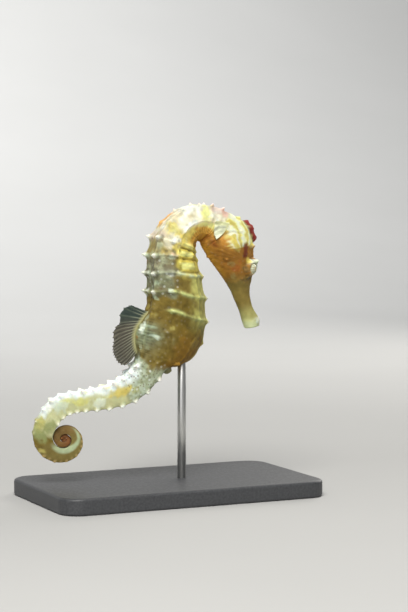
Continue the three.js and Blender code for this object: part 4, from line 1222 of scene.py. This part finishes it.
def sheet_faces(nu, nv):
    size = (nu + 1) * (nv + 1)

    def at(i, j):
        return i * (nv + 1) + j

    quads = []
    for i in range(nu):
        for j in range(nv):
            a, b, c, d = at(i, j), at(i + 1, j), at(i + 1, j + 1), at(i, j + 1)
            quads += [(a, b, c, d), (size + a, size + d, size + c, size + b)]
    edge = [at(i, 0) for i in range(nu)] + [at(nu, j) for j in range(nv)]
    edge += [at(i, nv) for i in range(nu, 0, -1)] + [at(0, j) for j in range(nv, 0, -1)]
    return quads + [(b, a, size + a, size + b) for a, b in zip(edge, edge[1:] + edge[:1])]


def fin_sheet(name, point_at, rays, nu, nv, replaces):
    places = [(u, v, face) for face in (1, -1) for u in np.linspace(0, 1, nu + 1)
              for v in np.linspace(0, 1, nv + 1)]
    pts, quads = np.array([point_at(*where) for where in places]), sheet_faces(nu, nv)
    a, b, c = pts[list(quads[0][:3])]
    if np.cross(b - a, c - a) @ (a - pts[len(pts) // 2]) < 0:
        quads = [quad[::-1] for quad in quads]
    layers = {"ray": [ray_swell(u, rays) for u, _, _ in places],
              "reach": [v for _, v, _ in places], "along": [u for u, _, _ in places]}
    piece = make_piece(name, pts, quads, layers)
    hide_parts(replaces)
    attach(piece, "root")
    return piece


print("a sheet of 2 by 2 cells closes with", len(sheet_faces(2, 2)), "faces")

# %% [markdown]
# ## The dorsal fin
# The dorsal fin has 18 rays. Its short upper lobe and its longer lower lobe meet in a notch, and
# the whole fan ripples, because it is caught in the middle of a stroke. A circle's sector would
# miss both the notch and the lobes, so a table gives each part of the fan its length and its angle.

# %% Dorsal fin
DORSAL_RAYS = np.array([
    [0, 3.7, 21], [0.06, 5.8, 29], [0.14, 7.4, 23], [0.18, 8.0, 13], [0.25, 7.3, -4], [0.29, 8.1, -5],
    [0.36, 8.7, -12], [0.45, 8.5, -22], [0.55, 8.8, -28], [0.65, 8.5, -30], [0.75, 8.0, -33],
    [0.85, 7.4, -40], [0.93, 6.6, -45], [1, 5.3, -48]])
DORSAL_FIRST, DORSAL_SPAN, RAY_COUNT = 10.12, 1.93, 18
MEMBRANE, RAY_THICK, SCALLOP = 0.09, 0.2, 0.05


def dorsal_point(u, v, face):
    foot = on_skin(DORSAL_FIRST + DORSAL_SPAN * u, 0.0, -0.15)
    swell = ray_swell(u, RAY_COUNT)
    reach = np.interp(u, DORSAL_RAYS[:, 0], DORSAL_RAYS[:, 1]) * (1 - SCALLOP * (1 - swell) * v) * v
    bend = math.radians(16) * v * (1 - v) * math.sin(6 * u - 1)
    angle = math.radians(np.interp(u, DORSAL_RAYS[:, 0], DORSAL_RAYS[:, 2])) + bend
    thick = MEMBRANE + (RAY_THICK - MEMBRANE) * (1 - 0.85 * v) * swell + 0.5 * max(0.0, 1 - v * 6) ** 2
    ripple = 0.55 * v * math.sin(2.2 * math.pi * u + 1.4 * v)
    ripple += 0.1 * v * math.sin(2 * math.pi * RAY_COUNT * u)
    return [foot[0] - reach * math.cos(angle), foot[1] + ripple + face * thick / 2,
            foot[2] + reach * math.sin(angle)]


dorsal = fin_sheet("dorsal_fan", dorsal_point, RAY_COUNT, RAY_COUNT * 10, 20, "dorsal_fin")

# %% [markdown]
# ## The small fins
# The pectoral fins lie folded back against the neck, just behind the gill covers, so both ends of
# each ray are given as places on the skin, and the fin follows the body below it. The left one is the
# mirror of the right. The anal fin is a tiny flap where the tail begins, with four rays.

# %% Pectoral and anal fins
# share from the upper ray to the lower, foot s, foot t, tip s, tip t
PECTORAL_RAYS = np.array([[0, -0.3, 1.6, 1.7, 2.0], [0.35, -0.3, 1.82, 1.3, 2.4],
                          [0.7, -0.35, 2.05, 0.45, 2.75], [1, -0.4, 2.25, -0.5, 2.85]])
PECTORAL_COUNT, PECTORAL_THICK, ANAL_COUNT, ANAL_LENGTH = 14, 0.26, 4, 1.9


def pectoral_point(hand):
    def point_at(u, v, face):
        foot_s, foot_t, tip_s, tip_t = (np.interp(u, PECTORAL_RAYS[:, 0], way) for way in PECTORAL_RAYS.T[1:])
        swell = ray_swell(u, PECTORAL_COUNT)
        run = v * (1 - SCALLOP * (1 - swell) * v)
        s, t = foot_s + (tip_s - foot_s) * run, foot_t + (tip_t - foot_t) * run
        thick = MEMBRANE + (PECTORAL_THICK - MEMBRANE) * (1 - 0.8 * v) * swell
        lift = -0.12 + 0.9 * v + 0.12 * v * math.cos(6 * math.pi * u) + face * thick / 2
        return on_skin(s, t if hand > 0 else 8 - t, lift)
    return point_at


def anal_point(u, v, face):
    foot = on_skin(12.42 + 0.24 * (0.5 - u), 4.0, -0.1)
    reach = ANAL_LENGTH * v * (0.6 + 0.4 * math.sin(math.pi * u))
    angle = math.radians(75 + 45 * (u - 0.5))
    thick = MEMBRANE + 0.14 * ray_swell(u, ANAL_COUNT) + 0.3 * max(0.0, 1 - v * 4) ** 2
    return [foot[0] - reach * math.cos(angle), foot[1] + face * thick / 2, foot[2] - reach * math.sin(angle)]


pectorals = [
    fin_sheet("pectoral_fan_right", pectoral_point(1), PECTORAL_COUNT, 112, 14, "pectoral_fin_right"),
    fin_sheet("pectoral_fan_left", pectoral_point(-1), PECTORAL_COUNT, 112, 14, "pectoral_fin_left")]
anal = fin_sheet("anal_flap", anal_point, ANAL_COUNT, 32, 8, "anal_fin")

# %% [markdown]
# ## The finish of the fins
# The membrane lets light through and the rays do not. Glass would bend the light too much for so
# thin a skin, so the sheet is made partly see-through instead. The "ray" layer drives both the colour
# and how see-through it is, and near the foot the fin is fleshy and opaque.

# %% Fin material


def fin_material(name, upper, lower, ray_colour, foot_colour, clear):
    material, tree, shader = new_material(name)
    reach = layer(tree, "reach")
    cloud = ranged(tree, noise_at(tree, 600, 3), 0.35, 0.65)
    in_lower = ranged(tree, layer(tree, "along"), 0.18, 0.34)
    sheet = mixed(tree, in_lower, upper, lower)
    sheet = mixed(tree, times(tree, cloud, 0.5), sheet, (0.6, 0.6, 0.55), "MULTIPLY")
    ray = times(tree, layer(tree, "ray"), ranged(tree, reach, 0.6, 0.15, 0.12, 0.9))
    colour = mixed(tree, ray, sheet, ray_colour)
    colour = mixed(tree, ranged(tree, reach, 0.2, 0.04), colour, foot_colour)
    solid = maths(tree, "MAXIMUM", ranged(tree, in_lower, 0, 1, *clear), ranged(tree, reach, 0.3, 0.0))
    solid = maths(tree, "MAXIMUM", solid, times(tree, ray, 0.95))
    finish(tree, shader, {
        "Base Color": colour, "Roughness": ranged(tree, cloud, 0, 1, 0.32, 0.5), "Alpha": solid,
        "Normal": bumped(tree, noise_at(tree, 1800, 2), 0.00005, 0.3)})
    return material


coat(fin_material("dorsal_membrane", (0.03, 0.05, 0.04), (0.085, 0.075, 0.05), (0.36, 0.38, 0.26),
                  (0.40, 0.39, 0.18), (0.92, 0.85)), dorsal)
coat(fin_material("pectoral_membrane", (0.82, 0.84, 0.46), (0.84, 0.88, 0.62), (0.88, 0.92, 0.70),
                  (0.82, 0.78, 0.36), (0.92, 0.92)), *pectorals)
coat(fin_material("anal_membrane", (0.30, 0.28, 0.11), (0.30, 0.28, 0.11), (0.44, 0.43, 0.22),
                  (0.24, 0.18, 0.05), (0.9, 0.9)), anal)

# %% [markdown]
# ## The stand
# A swimming animal has nothing to stand on, so a plain plate and a steel rod carry it. The plate is
# a rounded slab. A box with a bevel would do, but sweeping a profile around an outline gives a
# real radius on every edge, and the same sweep makes the rod.

# %% Sweep a profile around an outline


def swept(outline, profile, centre=(0, 0)):
    """An outline point is x, y and how far the outline reaches in x and y; a profile step, inset and z."""
    pts, n = [], len(outline)
    for inset, z in profile:
        pts += [(centre[0] + x * (1 - inset / reach_x), centre[1] + y * (1 - inset / reach_y), z)
                for x, y, reach_x, reach_y in outline]
    faces = ring_faces(0, len(profile), n)
    return pts, faces + [tuple(range(n))[::-1], tuple(range(len(pts) - n, len(pts)))]


def rounded_rectangle(length, width, corner, per_corner=10):
    outline = []
    for quarter in range(4):
        x = (length / 2 - corner) * (1 if quarter in (0, 3) else -1)
        y = (width / 2 - corner) * (1 if quarter in (0, 1) else -1)
        for k in range(per_corner + 1):
            angle = math.pi / 2 * (quarter + k / per_corner)
            cos, sin = math.cos(angle), math.sin(angle)
            outline.append((x + corner * cos, y + corner * sin, length / 2, width / 2))
    return outline


PLATE_LENGTH, PLATE_WIDTH, PLATE_THICK, PLATE_CORNER, EDGE = 84.0, 48.0, 5.0, 6.0, 0.8
edge_steps = [math.pi / 2 * k / 5 for k in range(6)]
plate_profile = [(EDGE * (1 - math.sin(a)), EDGE * (1 - math.cos(a))) for a in edge_steps]
plate_profile += [(EDGE * (1 - math.cos(a)), PLATE_THICK - EDGE * (1 - math.sin(a))) for a in edge_steps]
pts, quads = swept(rounded_rectangle(PLATE_LENGTH, PLATE_WIDTH, PLATE_CORNER), plate_profile)
plate = make_piece("stand_plate", pts, quads, smooth_shading=False)
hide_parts("stand_base")
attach(plate, "root")

# %% [markdown]
# The rod is turned steel: a circle is the outline, and a small chamfer at each end is the profile.
# Its lower end sits in the plate and its upper end inside the belly.

# %% Rod
ROD_X, ROD_RADIUS, ROD_BOTTOM, ROD_TOP, CHAMFER = 4.5, 1.3, 2.2, 41.2, 0.3
rod_ring = [(ROD_RADIUS * math.cos(a), ROD_RADIUS * math.sin(a), ROD_RADIUS, ROD_RADIUS)
            for a in np.linspace(0, 2 * math.pi, 40, endpoint=False)]
rod_profile = [(CHAMFER, ROD_BOTTOM), (0.0, ROD_BOTTOM + CHAMFER),
               (0.0, ROD_TOP - CHAMFER), (CHAMFER, ROD_TOP)]
pts, quads = swept(rod_ring, rod_profile, (ROD_X, 0))
rod = make_piece("stand_pin", pts, quads)
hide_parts("stand_rod")
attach(rod, "root")

# %% [markdown]
# The plate is lacquered a quiet dark grey with a fine grain, so that it doesn't draw the eye. The
# rod is brushed along its length. Noise that is stretched a hundred times along z draws the brush
# marks, and they break the highlight into thin lines.

# %% Stand materials
material, tree, shader = new_material("dark_lacquer")
speck = ranged(tree, noise_at(tree, 1500, 3), 0.35, 0.65)
finish(tree, shader, {
    "Base Color": mixed(tree, speck, (0.040, 0.042, 0.046), (0.062, 0.064, 0.068)),
    "Roughness": ranged(tree, speck, 0, 1, 0.42, 0.55),
    "Normal": bumped(tree, noise_at(tree, 3000, 3), 0.00004, 0.4)})
coat(material, plate)

material, tree, shader = new_material("brushed_rod")
stretched = node(tree, "ShaderNodeMapping", {"Vector": place(tree), "Scale": (9000.0, 9000.0, 90.0)})
marks = node(tree, "ShaderNodeTexNoise", {"Vector": stretched.outputs[0], "Scale": 1.0, "Detail": 3.0})
marks = ranged(tree, marks.outputs["Fac"], 0.35, 0.65)
finish(tree, shader, {
    "Base Color": mixed(tree, marks, (0.50, 0.50, 0.48), (0.66, 0.66, 0.64)),
    "Roughness": ranged(tree, marks, 0, 1, 0.24, 0.4), "Metallic": 1.0})
coat(material, rod)

# %% [markdown]
# ## Floor and backdrop
# A flat floor would end in a horizon that cuts the picture. This one runs back and curves up into
# a wall, as in a photo studio, so only the animal and its shadow are left to look at.

# %% Floor and backdrop


def backdrop():
    profile = [(-2.2, 0.0)]
    profile += [(0.5 + 1.5 * math.sin(a), 1.5 * (1 - math.cos(a))) for a in np.linspace(0, math.pi / 2, 32)]
    profile.append((2.0, 3.0))
    pts = np.array([(x, y, z) for x in np.linspace(-2.4, 2.4, 9) for y, z in profile]) / MM
    n = len(profile)
    quads = [(i * n + j, (i + 1) * n + j, (i + 1) * n + j + 1, i * n + j + 1)
             for i in range(8) for j in range(n - 1)]
    return make_piece("floor", pts, quads)


floor = backdrop()
material, tree, shader = new_material("pale_floor")
finish(tree, shader, {"Base Color": mixed(tree, noise_at(tree, 9, 2), (0.44, 0.44, 0.43), (0.47, 0.47, 0.46)),
                      "Roughness": 0.85})
coat(material, floor)

# %% [markdown]
# ## Light
# The key light is large and high, because light from above is what models the arch of the neck. A
# weaker, broader light fills the shadows from the viewer's side, one from behind draws the edges,
# and one falls on the wall. A sun lamp would be simpler, but its hard shadows would hide the rings.

# %% Lights


def soft_light(name, place_mm, aim_mm, size, watts, colour):
    data = bpy.data.lights.new(name, "AREA")
    data.shape = "DISK"
    data.size, data.energy, data.color = size, watts, colour
    lamp = bpy.data.objects.new(name, data)
    lamp.location = Vector(place_mm) * MM
    lamp.rotation_euler = (Vector(aim_mm) - Vector(place_mm)).to_track_quat("-Z", "Y").to_euler()
    bpy.context.scene.collection.objects.link(lamp)
    print(name, "light:", watts, "W over", size, "m")


AIM = (0, 0, 60)
soft_light("key", (-190, -330, 560), AIM, 0.36, 5.1, (1.0, 0.98, 0.94))
soft_light("fill", (-420, -640, 140), AIM, 0.8, 1.4, (0.98, 0.98, 1.0))
soft_light("rim", (420, 300, 300), AIM, 0.4, 1.2, (1.0, 0.97, 0.92))
soft_light("backdrop", (0, 700, 1100), (0, 1700, 500), 1.0, 26.0, (1.0, 1.0, 1.0))
world = bpy.data.worlds.new("studio")
world.use_nodes = True
sky = world.node_tree.nodes["Background"].inputs
sky["Color"].default_value = (0.94, 0.95, 0.97, 1)
sky["Strength"].default_value = 0.25
bpy.context.scene.world = world
bpy.context.scene.view_settings.view_transform = "Standard"

# %% [markdown]
# ## Camera
# The camera looks from the animal's right and a little from behind. A short lens close by would
# swell whatever is nearest, so it stands a long way off behind a long lens, and the coil and the
# head keep their true sizes.

# %% Camera
LENS, SENSOR = 117.65, 36.0
CAMERA_AT, LOOK_AT = Vector((-241.49, -543.44, 98.42)), Vector((11.46, -0.98, 56.56))
camera_data = bpy.data.cameras.new("camera")
camera_data.lens, camera_data.sensor_width, camera_data.clip_start = LENS, SENSOR, 0.01
camera = bpy.data.objects.new("camera", camera_data)
camera.location = CAMERA_AT * MM
camera.rotation_euler = (LOOK_AT - CAMERA_AT).to_track_quat("-Z", "Y").to_euler()
bpy.context.scene.collection.objects.link(camera)
bpy.context.scene.camera = camera
print("the camera stands", round((LOOK_AT - CAMERA_AT).length), "mm away")
